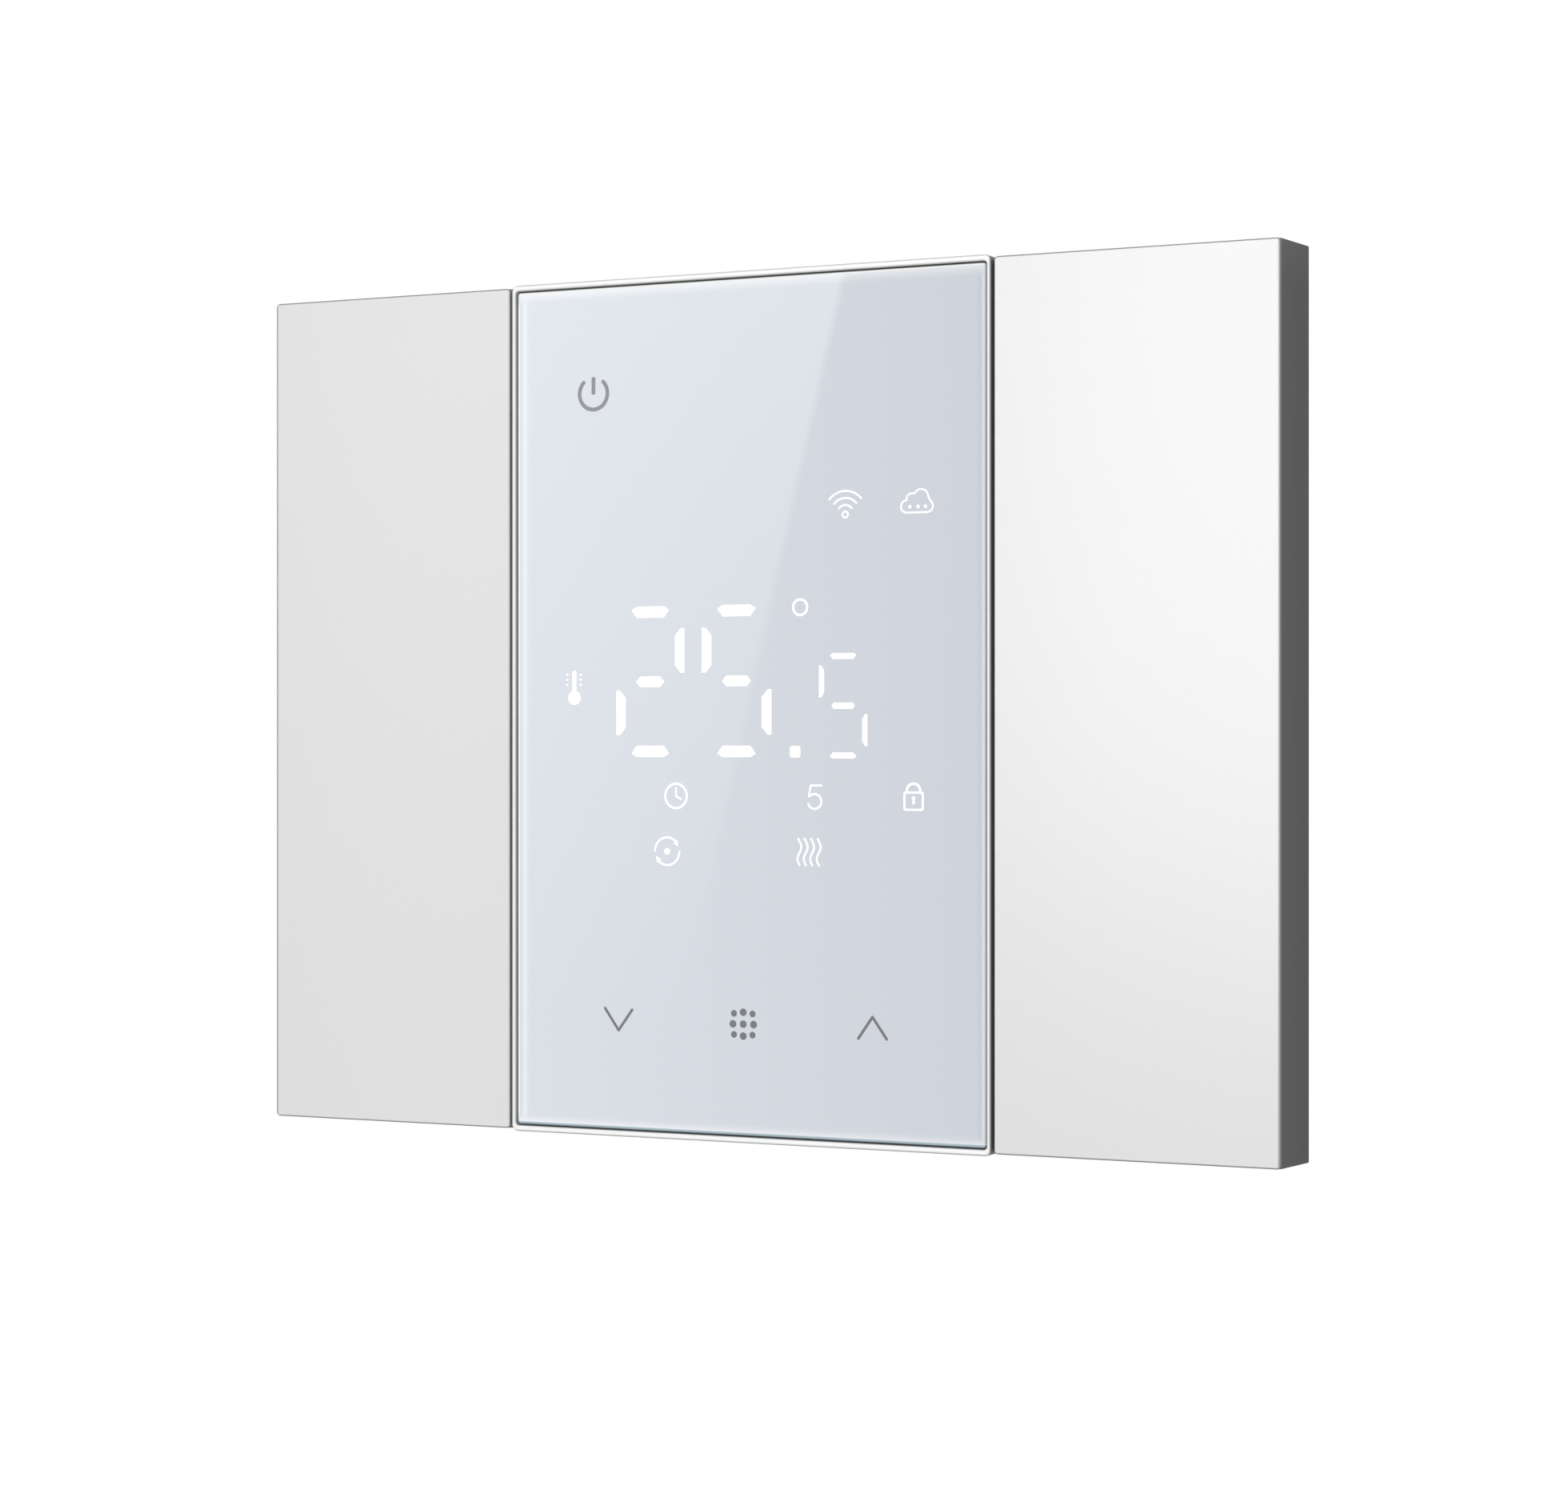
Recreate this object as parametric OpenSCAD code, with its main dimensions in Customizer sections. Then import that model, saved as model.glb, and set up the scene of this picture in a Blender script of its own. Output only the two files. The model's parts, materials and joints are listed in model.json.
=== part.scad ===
// Flush-mounted touch thermostat: a glass display head between two plain side covers,
// on a dark base frame, with its power unit in the wall box behind.
// Origin: centre of the wall plane. -Y points out of the wall to the room, +X right, +Z up.
// A "depth" is a distance out from the wall plane (y = -depth); it is negative inside the wall.

/* [Face] */
// Width over both side covers
face_w = 124; // [122:0.5:130]
// Height of the side covers
face_h = 96; // [94:0.5:100]
// Width of the display head
head_w = 59.3; // [59:0.1:60.5]
// How far the head's rim stands past the covers, above and below
rim_over = 0.25; // [0:0.05:0.5]
// Open joint between the head and each side cover
joint_gap = 0.4; // [0.2:0.05:0.6]
// How much wider the base frame is at the wall than at the covers, on each side
frame_flare = 0.2; // [0.1:0.05:0.3]
// Depth of the side covers' front face
cover_front = 9.3; // [9.1:0.1:10.5]
// How far the head stands out past the covers
head_proud = 0.1; // [0:0.1:1]
// Corner radius of the base frame and covers
corner_r = 0.45; // [0.3:0.05:1.5]

/* [Glass] */
// Thickness of the front glass
glass_t = 0.7; // [0.7:0.1:1.2]
// Set-back of the glass behind the rim's front
glass_setback = 0.2; // [0.1:0.05:0.4]
// Width of the white rim beside the glass
rim_w = 0.46; // [0.4:0.02:0.7]
// Width of the white rim above and below the glass
rim_end_w = 0.66; // [0.4:0.02:0.7]
// Open joint between the rim and the glass
glass_gap = 0.16; // [0.08:0.02:0.2]

/* [Base frame] */
// Outer wall thickness
wall_t = 1.6; // [1.2:0.1:2]
// Depth of the web's front face
web_front = 2.6; // [2.4:0.1:2.7]
// Thickness of the steel support plate
steel_t = 1; // [0.8:0.1:1.1]
// Width of the steel support plate
steel_w = 108; // [106:1:110]
// Height of the steel support plate
steel_h = 76; // [74:1:77]
// Distance between the two wall-box screws
box_screw_pitch = 83.5; // [83:0.5:84]
// Radius of the ends of the screw slots
slot_r = 2.1; // [1.9:0.05:2.2]
// Length of the screw slots
slot_len = 8; // [6:0.5:8.5]

/* [Power unit] */
// Width of the flush housing
housing_w = 63.8; // [63:0.1:64]
// Height of the flush housing
housing_h = 45.8; // [45:0.1:46]
// How far the flush housing reaches into the wall
housing_in = 27; // [27:0.5:30]
// Housing wall thickness
housing_t = 1.6; // [1.4:0.1:1.8]

/* [Terminals] */
// Number of screw terminals
poles = 6;
// Distance between terminals
pole_pitch = 9; // [8.8:0.1:9]
// Radius of each wire entry
wire_r = 1.8; // [1.5:0.1:1.9]
// Shank radius of the clamping screws
clamp_screw_r = 1.5; // [1.4:0.05:1.5]
// Radial clearance around a turning screw
screw_fit = 0.05; // [0.03:0.01:0.1]

/* [Hidden] */
$fn = 48;

// Head stack, as depths out from the wall
head_front = cover_front + head_proud;
glass_front = head_front - glass_setback;
glass_back = glass_front - glass_t;
adhesive_t = 0.15;
ledge_front = glass_back - adhesive_t;
film_back = glass_back - 0.2;
board_front = film_back - 2.7;
board_t = 1.2;
board_back = board_front - board_t;
head_back = web_front + 0.3;
back_cover_t = 1.2;
rim_seat = 7;

// Head outlines
rim_h = face_h + 2 * rim_over;
pocket_w = head_w - 2 * rim_w;
pocket_h = rim_h - 2 * rim_end_w;
glass_w = pocket_w - 2 * glass_gap;
glass_h = pocket_h - 2 * glass_gap;
ledge_w = 1.6;
skirt_t = 1.2;
skirt_h = face_h - 2 * wall_t - 0.4;
board_w = head_w - 2 * skirt_t - 0.6;
board_h = skirt_h - 2 * skirt_t - 0.6;
head_boss = [25.4, 41.8];

// Frame
cover_w = (face_w - head_w) / 2 - joint_gap;
cover_x = (face_w - cover_w) / 2;
inner_h = face_h - 2 * wall_t;
channel_w = head_w + 0.4;
rib_t = 1.2;
bay_w = (face_w - channel_w) / 2 - rib_t - wall_t;
bay_x = channel_w / 2 + rib_t + bay_w / 2;
lip_t = 0.4;
lip_back = cover_front - lip_t;
wall_front = lip_back - 0.05;
skin_back = cover_front - 1.6;
tongue_z = 42;
tongue = [5, 1.4];
tongue_slack = 0.2;
cover_tongue_x = 9.5;
head_tongue_x = 20;
frame_screw_at = [50, 33];
core_depth = 0.8;
vent_count = 7;
vent_pitch = 4.2;
vent_w = 2.2;
vent_depths = [3.5, 5.6];

// Flush housing
flange_t = 1;
flange_front = steel_t + flange_t;
ear_at = [35, 19];
ear_r = 3.2;
lid_back = 0.8;
post_at = [28.4, 19.4];
post_r = 2.2;
power_board_front = -3;
power_board_t = 1.6;
power_board_back = power_board_front - power_board_t;
header_z = 12;
header_cols = 8;
header_pitch = 2.54;

// Terminals, as distances into the wall
block_w = 56;
block_h = 11.2;
block_z = -housing_h / 2 + block_h / 2;
block_in = 10.5;
clamp_z = -16.8;
pocket_in = [11.6, 23.8];
cage_in = [11.8, 20.2];
cage_w = 6;
cage_l = 7;
bar_in = [17.8, 18.6];
wire_in = 15.3;
head_seat_in = 24.8;

// Display places on the face
digit_z = 2.9;
digit_x = [-11.8, -1];
small_digit = [12.1, 0.05];
icon_at = [[-21.55, 2.6], [12.4, 22], [21, 21.7], [-8.5, -9.9], [8.75, -9.95],
    [20.55, -9.8], [-9.6, -16.1], [8.05, -16]];
key_at = [[-19.15, 35.6], [-15.8, -35.1], [0, -35.1], [15.7, -35.1]];

// ---- shared shapes ----

// A flat outline in the X-Z plane, filled between two depths
module sheet(back, front) {
    rotate([90, 0, 0])
        translate([0, 0, back])
            linear_extrude(front - back)
                children();
}

// Rectangle with round corners
module rounded(w, h, r) {
    square([w - 2 * r, h], center = true);
    square([w, h - 2 * r], center = true);
    for (x = [-1, 1], z = [-1, 1])
        translate([x * (w / 2 - r), z * (h / 2 - r)])
            circle(r);
}

// Slot with round ends, along X
module slot(length, r) {
    square([length - 2 * r, 2 * r], center = true);
    for (x = [-1, 1])
        translate([x * (length / 2 - r), 0])
            circle(r);
}

// Copies at the four mirrored places of one point
module at_corners(p) {
    for (x = [-1, 1], z = [-1, 1])
        translate([x * p[0], z * p[1]])
            children();
}

// Pan-head screw along Y: its head sits on `seat` and its shank reaches back to `tip`
module pan_screw(seat, tip, shank_r, head_r, head_t) {
    difference() {
        union() {
            sheet(tip, seat)
                circle(shank_r);
            sheet(seat, seat + head_t)
                circle(head_r);
        }
        sheet(seat + head_t / 2, seat + head_t + 1)
            for (turn = [0, 90])
                rotate(turn)
                    square([head_r * 1.3, head_r * 0.28], center = true);
    }
}

// Chip with two rows of leads, on the room side of a board whose face is at `seat`
module chip(seat, size, t, leads) {
    lead_pitch = size[0] / (leads + 1);
    sheet(seat, seat + t)
        square(size, center = true);
    for (i = [1 : leads], side = [-1, 1])
        translate([i * lead_pitch - size[0] / 2, 0, side * (size[1] / 2 + 0.4)])
            sheet(seat, seat + t / 3)
                square([lead_pitch / 2, 0.8], center = true);
}

// Outline of the flush housing's flange with its four screw ears
module flange_outline(grow) {
    square([housing_w + 2.2 + 2 * grow, housing_h + 6.2 + 2 * grow], center = true);
    at_corners(ear_at)
        circle(ear_r + grow);
}

// ---- base frame and covers ----

module frame_cut_outs() {
    for (side = [-1, 1])
        translate([side * bay_x, 0, 0])
            sheet(web_front, cover_front)
                square([bay_w, inner_h], center = true);
    sheet(web_front, cover_front)
        square([channel_w, inner_h], center = true);
    sheet(rim_seat - 0.15, cover_front)
        square([channel_w, face_h + 2], center = true);
    sheet(-1, steel_t)
        rounded(steel_w + 0.4, steel_h + 0.4, 3);
    sheet(-1, web_front)
        flange_outline(0.4);
}

module frame_holes() {
    for (side = [-1, 1], z = [-1, 1])
        for (x = [side * (cover_x - cover_tongue_x), side * (cover_x + cover_tongue_x), side * head_tongue_x])
            translate([x, 0, z * tongue_z])
                sheet(-1, web_front + 1)
                    square([tongue[0] + 2 * tongue_slack, tongue[1] + 2 * tongue_slack], center = true);
    for (side = [-1, 1])
        translate([side * box_screw_pitch / 2, 0, 0])
            sheet(0, web_front + 1)
                slot(14, 5);
    sheet(0, web_front + 1)
        at_corners(frame_screw_at)
            circle(1.35);
    for (i = [0 : vent_count - 1])
        translate([(i - (vent_count - 1) / 2) * vent_pitch, 0, 0])
            sheet(vent_depths[0], vent_depths[1])
                square([vent_w, face_h + 2], center = true);
}

// Shallow coring pockets in the back of the rim, between the tongue windows
module frame_coring() {
    for (x = [0, 9, 28, 46], z = [-1, 1], side = [-1, 1])
        translate([side * x, 0, z * 43.2])
            sheet(-1, core_depth)
                square([7, 5], center = true);
    for (i = [-3 : 3], side = [-1, 1])
        translate([side * 58, 0, i * 12])
            sheet(-1, core_depth)
                square([3.2, 9.4], center = true);
}

// The outer walls lean in towards the front by the mould's draft
module frame_block() {
    draft = atan(frame_flare / wall_front);
    difference() {
        sheet(0, wall_front)
            square([face_w + 4, face_h + 4], center = true);
        for (side = [-1, 1]) {
            translate([side * (face_w / 2 + frame_flare), 0, 0])
                rotate([0, 0, -side * draft])
                    translate([side * 5, 0, 0])
                        cube([10, 60, 2 * face_w], center = true);
            translate([0, 0, side * (face_h / 2 + frame_flare)])
                rotate([side * draft, 0, 0])
                    translate([0, 0, side * 5])
                        cube([2 * face_w, 60, 10], center = true);
        }
    }
}

module base_frame() color("#585858") {
    difference() {
        frame_block();
        frame_cut_outs();
        frame_holes();
        frame_coring();
    }
}

module support_plate() color("#b9bcc0") {
    sheet(0, steel_t)
        difference() {
            rounded(steel_w, steel_h, 3);
            rounded(housing_w + 0.6, housing_h + 0.6, 1.5);
            for (side = [-1, 1])
                translate([side * box_screw_pitch / 2, 0])
                    slot(slot_len, slot_r);
            at_corners(frame_screw_at)
                circle(1.3);
            at_corners(ear_at)
                circle(1.3);
            for (side = [-1, 1])
                translate([0, side * 31])
                    slot(30, 2.5);
        }
}

module frame_screws() color("silver") {
    for (x = [-1, 1], z = [-1, 1])
        translate([x * frame_screw_at[0], 0, z * frame_screw_at[1]])
            pan_screw(web_front, 0.1, 1.25, 2.3, 1.4);
}

// A side cover on its own centre line: thin lip over the frame's walls, skin, ribs and tongues
module cover() {
    sheet(lip_back, cover_front)
        rounded(cover_w, face_h, corner_r);
    sheet(skin_back, lip_back)
        square([bay_w - 1, inner_h - 0.4], center = true);
    for (x = [-1, 1])
        translate([x * cover_tongue_x, 0, 0])
            sheet(skin_back - 1.6, skin_back)
                square([0.9, 78], center = true);
    for (z = [-30, -15, 15, 30])
        translate([0, 0, z])
            sheet(skin_back - 1.6, skin_back)
                square([2 * cover_tongue_x - 0.9, 0.9], center = true);
    for (x = [-1, 1], z = [-1, 1])
        translate([x * cover_tongue_x, 0, z * tongue_z])
            sheet(0.8, skin_back)
                square(tongue, center = true);
}

module left_cover() color("#eeeeef") {
    translate([-cover_x, 0, 0])
        cover();
}

module right_cover() color("#eeeeef") {
    translate([cover_x, 0, 0])
        cover();
}

// ---- display head ----

module front_bezel() color("#f2f2f2") {
    difference() {
        union() {
            sheet(rim_seat, head_front)
                rounded(head_w, rim_h, 0.7);
            sheet(head_back, rim_seat)
                square([head_w, skirt_h], center = true);
        }
        sheet(ledge_front, head_front + 1)
            rounded(pocket_w, pocket_h, 0.4);
        sheet(rim_seat, ledge_front)
            square([pocket_w - 2 * ledge_w, pocket_h - 2 * ledge_w], center = true);
        sheet(head_back - 1, rim_seat)
            square([head_w - 2 * skirt_t, skirt_h - 2 * skirt_t], center = true);
        for (i = [0 : vent_count - 1])
            translate([(i - (vent_count - 1) / 2) * vent_pitch, 0, 0])
                sheet(vent_depths[0], vent_depths[1])
                    square([vent_w, face_h], center = true);
    }
    for (x = [-1, 1], z = [-1, 1])
        translate([x * head_boss[0], 0, z * head_boss[1]])
            difference() {
                union() {
                    sheet(board_front, ledge_front)
                        circle(2.2);
                    sheet(board_front, rim_seat + 0.6)
                        translate([x * 2, z * 1.6])
                            square([4, 3], center = true);
                }
                sheet(board_front - 1, ledge_front - 0.8)
                    circle(0.8);
            }
}

module touch_glass() color("#dde2ea") {
    sheet(glass_back, glass_front)
        rounded(glass_w, glass_h, 0.35);
}

module glass_adhesive() color("#303030") {
    sheet(ledge_front, glass_back)
        difference() {
            square([glass_w, glass_h], center = true);
            square([pocket_w - 2 * ledge_w + 0.1, pocket_h - 2 * ledge_w + 0.1], center = true);
        }
}

module diffuser_film() color("white") {
    sheet(film_back, glass_back)
        square([54.6, 78], center = true);
}

// Hexagonal bar outline of a display segment, lying along X
module segment(length, t) {
    polygon([[-length / 2, 0], [-length / 2 + t / 2, t / 2], [length / 2 - t / 2, t / 2],
        [length / 2, 0], [length / 2 - t / 2, -t / 2], [-length / 2 + t / 2, -t / 2]]);
}

// Places of the seven segments of a digit: [x, z, turned]
function segment_places(w, h) = [
    [0, h / 2, 0], [0, 0, 0], [0, -h / 2, 0],
    [w / 2, h / 4, 90], [w / 2, -h / 4, 90], [-w / 2, h / 4, 90], [-w / 2, -h / 4, 90]];

module digit_cells(w, h, length, t) {
    for (s = segment_places(w, h))
        translate([s[0], s[1]])
            rotate(s[2])
                segment(length, t);
}

module light_box() color("#f4f4f4") {
    sheet(board_front, film_back)
        difference() {
            translate([-0.4, 3])
                square([48.6, 45], center = true);
            for (x = digit_x)
                translate([x, digit_z])
                    digit_cells(7.4, 15.6, 5.2, 1.5);
            translate(small_digit)
                digit_cells(5.2, 10.9, 3.6, 0.9);
            translate([6.3, -4.95])
                circle(0.9);
            translate([6.95, 10.9])
                circle(1.1);
            for (p = icon_at)
                translate(p)
                    square([4.2, 3.6], center = true);
        }
}

module led(p) {
    translate([p[0], 0, p[1]])
        sheet(board_front, board_front + 0.6)
            square([0.8, 0.8], center = true);
}

module display_leds() color("#fff6c8") {
    for (x = digit_x, s = segment_places(7.4, 15.6))
        led([x + s[0], digit_z + s[1]]);
    for (s = segment_places(5.2, 10.9))
        led([small_digit[0] + s[0], small_digit[1] + s[1]]);
    for (p = icon_at)
        led(p);
    led([6.3, -4.95]);
    led([6.95, 10.9]);
}

// Coil spring along Y, swept as one closed tube
module coil_spring(coil_r, wire_radius, turns, low, high) {
    sides = 6;
    steps = 14 * turns;
    ring = function (i) let (
        turn = 360 * turns * i / steps,
        z = low + wire_radius + (high - low - 2 * wire_radius) * i / steps)
        [for (k = [0 : sides - 1]) let (
            out = coil_r + wire_radius * cos(360 * k / sides),
            up = z + wire_radius * sin(360 * k / sides))
            [out * cos(turn), out * sin(turn), up]];
    points = [for (i = [0 : steps]) each ring(i)];
    skins = [for (i = [0 : steps - 1], k = [0 : sides - 1])
        [i * sides + k, (i + 1) * sides + k,
            (i + 1) * sides + (k + 1) % sides, i * sides + (k + 1) % sides]];
    start = [[for (k = [0 : sides - 1]) k]];
    finish = [[for (k = [sides - 1 : -1 : 0]) steps * sides + k]];
    rotate([90, 0, 0])
        polyhedron(concat(points), concat(skins, start, finish));
}

module touch_springs() color("gold") {
    for (p = key_at)
        translate([p[0], 0, p[1]])
            coil_spring(2.8, 0.22, 3, board_front, film_back);
}

module control_board() color("#1f6b3a") {
    sheet(board_back, board_front)
        difference() {
            square([board_w, board_h], center = true);
            at_corners(head_boss)
                circle(1.2);
        }
}

module microcontroller() color("#202020") {
    translate([-3, 0, 34])
        chip(board_front, [7, 7], 1.4, 8);
}

module touch_controller() color("#202020") {
    translate([8, 0, -26])
        chip(board_front, [5, 4], 1.4, 5);
}

// Shielded radio module with its bare antenna end
module radio_module() color("#b8bcc2") {
    translate([15, 0, 35.5]) {
        sheet(board_front, board_front + 0.8)
            square([16, 12], center = true);
        translate([2.5, 0, 0])
            sheet(board_front + 0.8, board_front + 2.4)
                square([10.4, 11], center = true);
    }
}

module buzzer() color("#181818") {
    translate([-18, 0, -25])
        sheet(board_front, board_front + 2.3)
            difference() {
                circle(4.5);
                circle(0.8);
            }
}

// Bead thermistor beside the lower vents
module room_sensor() color("#1a1a1a") {
    translate([22, 0, -36])
        sheet(board_front, board_front + 1.6)
            circle(1.3);
    for (side = [-1, 1])
        translate([22 + side * 0.7, 0, -33.6])
            sheet(board_front, board_front + 0.4)
                square([0.4, 2.6], center = true);
}

// Two-row pin header on the back of the control board
module head_header() color("#222222") {
    translate([0, 0, header_z]) {
        sheet(head_back + 0.2, board_back)
            square([header_cols * header_pitch, 2 * header_pitch], center = true);
        for (i = [0 : header_cols - 1], row = [-1, 1])
            translate([(i - (header_cols - 1) / 2) * header_pitch, 0, row * header_pitch / 2])
                sheet(-1.6, head_back + 0.2)
                    square([0.64, 0.64], center = true);
    }
}

module head_back_cover() color("#e4e4e4") {
    difference() {
        union() {
            sheet(head_back, head_back + back_cover_t)
                square([board_w, board_h], center = true);
            for (x = [-1, 1], z = [-1, 1])
                translate([x * head_boss[0], 0, z * head_boss[1]])
                    sheet(head_back, board_back)
                        circle(2.7);
            for (x = [-1, 1], z = [-1, 1])
                translate([x * head_tongue_x, 0, z * tongue_z])
                    sheet(0.6, head_back)
                        square(tongue, center = true);
        }
        translate([0, 0, header_z])
            sheet(head_back - 1, board_back)
                square([header_cols * header_pitch + 0.6, 2 * header_pitch + 0.6], center = true);
        for (x = [-1, 1], z = [-1, 1])
            translate([x * head_boss[0], 0, z * head_boss[1]]) {
                sheet(head_back - 1, board_back + 1)
                    circle(1.1);
                sheet(head_back - 1, head_back + 0.9)
                    circle(2.1);
            }
        for (i = [-6 : 6])
            translate([i * 3.4, 0, -24])
                sheet(head_back - 1, board_back)
                    square([1.4, 12], center = true);
    }
}

module head_screws() color("silver") {
    for (x = [-1, 1], z = [-1, 1])
        translate([x * head_boss[0], -head_back, z * head_boss[1]])
            rotate([180, 0, 0])
                pan_screw(-0.9, -4.2, 0.75, 1.95, 0.8);
}

// ---- flush power unit ----

// The space that the terminal block takes out of the housing
module block_space(grow) {
    translate([0, block_z - 1])
        square([block_w + 2 * grow, block_h + 2 + 2 * grow], center = true);
}

module rear_housing() color("#2c2d2f") {
    difference() {
        union() {
            sheet(steel_t, flange_front)
                flange_outline(0);
            sheet(-housing_in, flange_front)
                rounded(housing_w, housing_h, 1.2);
        }
        difference() {
            sheet(housing_t - housing_in, flange_front + 1)
                rounded(housing_w - 2 * housing_t, housing_h - 2 * housing_t, 0.8);
            sheet(-10, lid_back)
                at_corners(post_at)
                    circle(post_r);
            for (x = [-1, 1], z = [-8, 8])
                translate([x * (housing_w / 2 - housing_t - 0.6), 0, z])
                    sheet(power_board_back - 1.6, power_board_back)
                        square([1.4, 6], center = true);
        }
        sheet(-housing_in - 1, -block_in + 0.1)
            block_space(0.1);
        sheet(steel_t - 1, flange_front + 1)
            at_corners(ear_at)
                circle(1.3);
        sheet(lid_back - 5, flange_front)
            at_corners(post_at)
                circle(0.9);
        for (i = [-5 : 5])
            translate([i * 4.6, 0, 8])
                sheet(-housing_in - 1, housing_t - housing_in + 1)
                    square([1.8, 16], center = true);
    }
}

module housing_screws() color("silver") {
    for (x = [-1, 1], z = [-1, 1])
        translate([x * ear_at[0], 0, z * ear_at[1]])
            pan_screw(flange_front, 0.1, 1.25, 2.3, 1.4);
}

module housing_lid() color("#3a3b3d") {
    difference() {
        sheet(lid_back, flange_front)
            rounded(housing_w - 2 * housing_t - 0.2, housing_h - 2 * housing_t - 0.2, 0.7);
        sheet(lid_back - 1, flange_front + 1)
            at_corners(post_at)
                circle(1);
        sheet(flange_front - 0.7, flange_front + 1)
            at_corners(post_at)
                circle(1.9);
        translate([0, 0, header_z])
            sheet(lid_back - 1, flange_front + 1)
                square([header_cols * header_pitch + 1, 2 * header_pitch + 1], center = true);
        for (i = [-5 : 5])
            translate([i * 4.6, 0, -9])
                sheet(lid_back - 1, flange_front + 1)
                    square([1.6, 12], center = true);
    }
}

module lid_screws() color("silver") {
    for (x = [-1, 1], z = [-1, 1])
        translate([x * post_at[0], 0, z * post_at[1]])
            pan_screw(flange_front - 0.7, lid_back - 4, 0.85, 1.7, 0.8);
}

module power_board() color("#b58a3c") {
    sheet(power_board_back, power_board_front)
        difference() {
            square([housing_w - 2 * housing_t - 0.4, housing_h - 2 * housing_t - 0.4], center = true);
            at_corners(post_at)
                circle(post_r + 0.4);
            for (i = [0 : poles - 1])
                translate([(i - (poles - 1) / 2) * pole_pitch, clamp_z + 5.5])
                    square([2.3, 1.1], center = true);
        }
}

module header_socket() color("#161616") {
    translate([0, 0, header_z])
        sheet(power_board_front, flange_front)
            difference() {
                square([header_cols * header_pitch, 2 * header_pitch], center = true);
                for (i = [0 : header_cols - 1], row = [-1, 1])
                    translate([(i - (header_cols - 1) / 2) * header_pitch, row * header_pitch / 2])
                        square([0.94, 0.94], center = true);
            }
}

// Places things on the wall side of the power board: x, z, then how far they stand off it
module on_power_board(x, z) {
    translate([x, -power_board_back, z])
        children();
}

module transformer_core() color("#3b3b3d") {
    on_power_board(6, 11.5)
        sheet(-13.4, -0.6)
            difference() {
                square([14, 13], center = true);
                for (x = [-1, 1])
                    translate([x * 3.9, 0])
                        square([3, 9], center = true);
            }
}

module transformer_winding() color("#d9b33c") {
    on_power_board(6, 11.5)
        sheet(-12, -2)
            for (x = [-1, 1])
                translate([x * 3.9, 0])
                    square([2.6, 8.6], center = true);
}

module electrolytic_capacitors() color("#23395d") {
    for (z = [4, 14])
        on_power_board(19.5, z)
            difference() {
                sheet(-12.5, 0)
                    circle(4);
                rotate([90, 0, 0])
                    translate([0, 0, -1.6])
                        rotate_extrude()
                            translate([4.1, 0])
                                circle(0.35, $fn = 24);
            }
}

module suppression_capacitor() color("#e0b020") {
    on_power_board(-17, 0)
        sheet(-11, 0)
            square([13, 6], center = true);
}

module varistor() color("#2457a6") {
    on_power_board(-5, 1)
        translate([0, 5.4, 0])
            rotate([0, 90, 0])
                cylinder(r = 4, h = 3.4, center = true);
    for (z = [-2.2, 2.2])
        on_power_board(-5, 1 + z)
            sheet(-2.6, 0)
                square([0.6, 0.6], center = true);
}

module fuse() color("#1c1c1c") {
    on_power_board(4, -3.5)
        sheet(-7.5, 0)
            circle(4);
}

module converter_chip() color("#202020") {
    on_power_board(13.5, -6)
        rotate([0, 0, 180])
            chip(0, [5, 4], 1.5, 4);
}

relay_x = -15.5;
relay_z = 13.5;

module relay_case() color("#1f4fa0") {
    on_power_board(relay_x, relay_z)
        difference() {
            sheet(-15.4, 0)
                square([19, 10.2], center = true);
            sheet(-14.7, 1)
                square([17.6, 8.8], center = true);
        }
}

// Base, yoke, bobbin and pole of the relay
module relay_coil() color("#c46a2b") {
    on_power_board(relay_x, relay_z) {
        sheet(-0.8, 0)
            square([17.4, 8.6], center = true);
        translate([-2, 0, 0])
            sheet(-10.4, -0.8)
                circle(3.8);
        translate([-2, 0, 0])
            sheet(-11, -10.4)
                circle(1.6);
        translate([-7.4, 0, 0])
            sheet(-11.4, -0.8)
                square([0.9, 7], center = true);
    }
}

// Armature, hinged on the yoke's edge, with its contact arm
module relay_armature() color("#a9adb2") {
    on_power_board(relay_x, relay_z) {
        translate([-1.6, 0, 0])
            sheet(-12.4, -11.6)
                square([11.6, 6.4], center = true);
        translate([5.6, 0, 0])
            sheet(-12.2, -11.8)
                square([2.8, 3], center = true);
    }
}

// ---- terminals ----

// Shows its children at each terminal's centre line
module at_pole(i) {
    translate([(i - (poles - 1) / 2) * pole_pitch, 0, clamp_z])
        children();
}

module terminal_block() color("#2f7d4f") {
    difference() {
        translate([0, 0, block_z])
            sheet(-housing_in, -block_in)
                square([block_w, block_h], center = true);
        for (i = [0 : poles - 1])
            at_pole(i) {
                sheet(-pocket_in[1], -pocket_in[0])
                    square([cage_w + 0.6, cage_l + 1.2], center = true);
                sheet(-head_seat_in - 1, -pocket_in[1] + 1)
                    circle(clamp_screw_r + screw_fit);
                sheet(-housing_in - 1, -head_seat_in)
                    circle(2.7);
                translate([0, wire_in, -(cage_l + 1.2) / 2 - 4])
                    cylinder(r = wire_r, h = 5);
                translate([0, (bar_in[0] + bar_in[1]) / 2, 5])
                    cube([4.4, 1, 4], center = true);
            }
    }
}

// Brass bars that the wires are clamped to, with tails down to the board
module terminal_contacts() color("#c9a227") {
    for (i = [0 : poles - 1])
        at_pole(i) {
            translate([0, (bar_in[0] + bar_in[1]) / 2, 1])
                cube([4.2, bar_in[1] - bar_in[0], 9.9], center = true);
            translate([0, (bar_in[1] + 2.6) / 2, 5.55])
                cube([2, bar_in[1] - 2.6, 0.8], center = true);
        }
}

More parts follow.
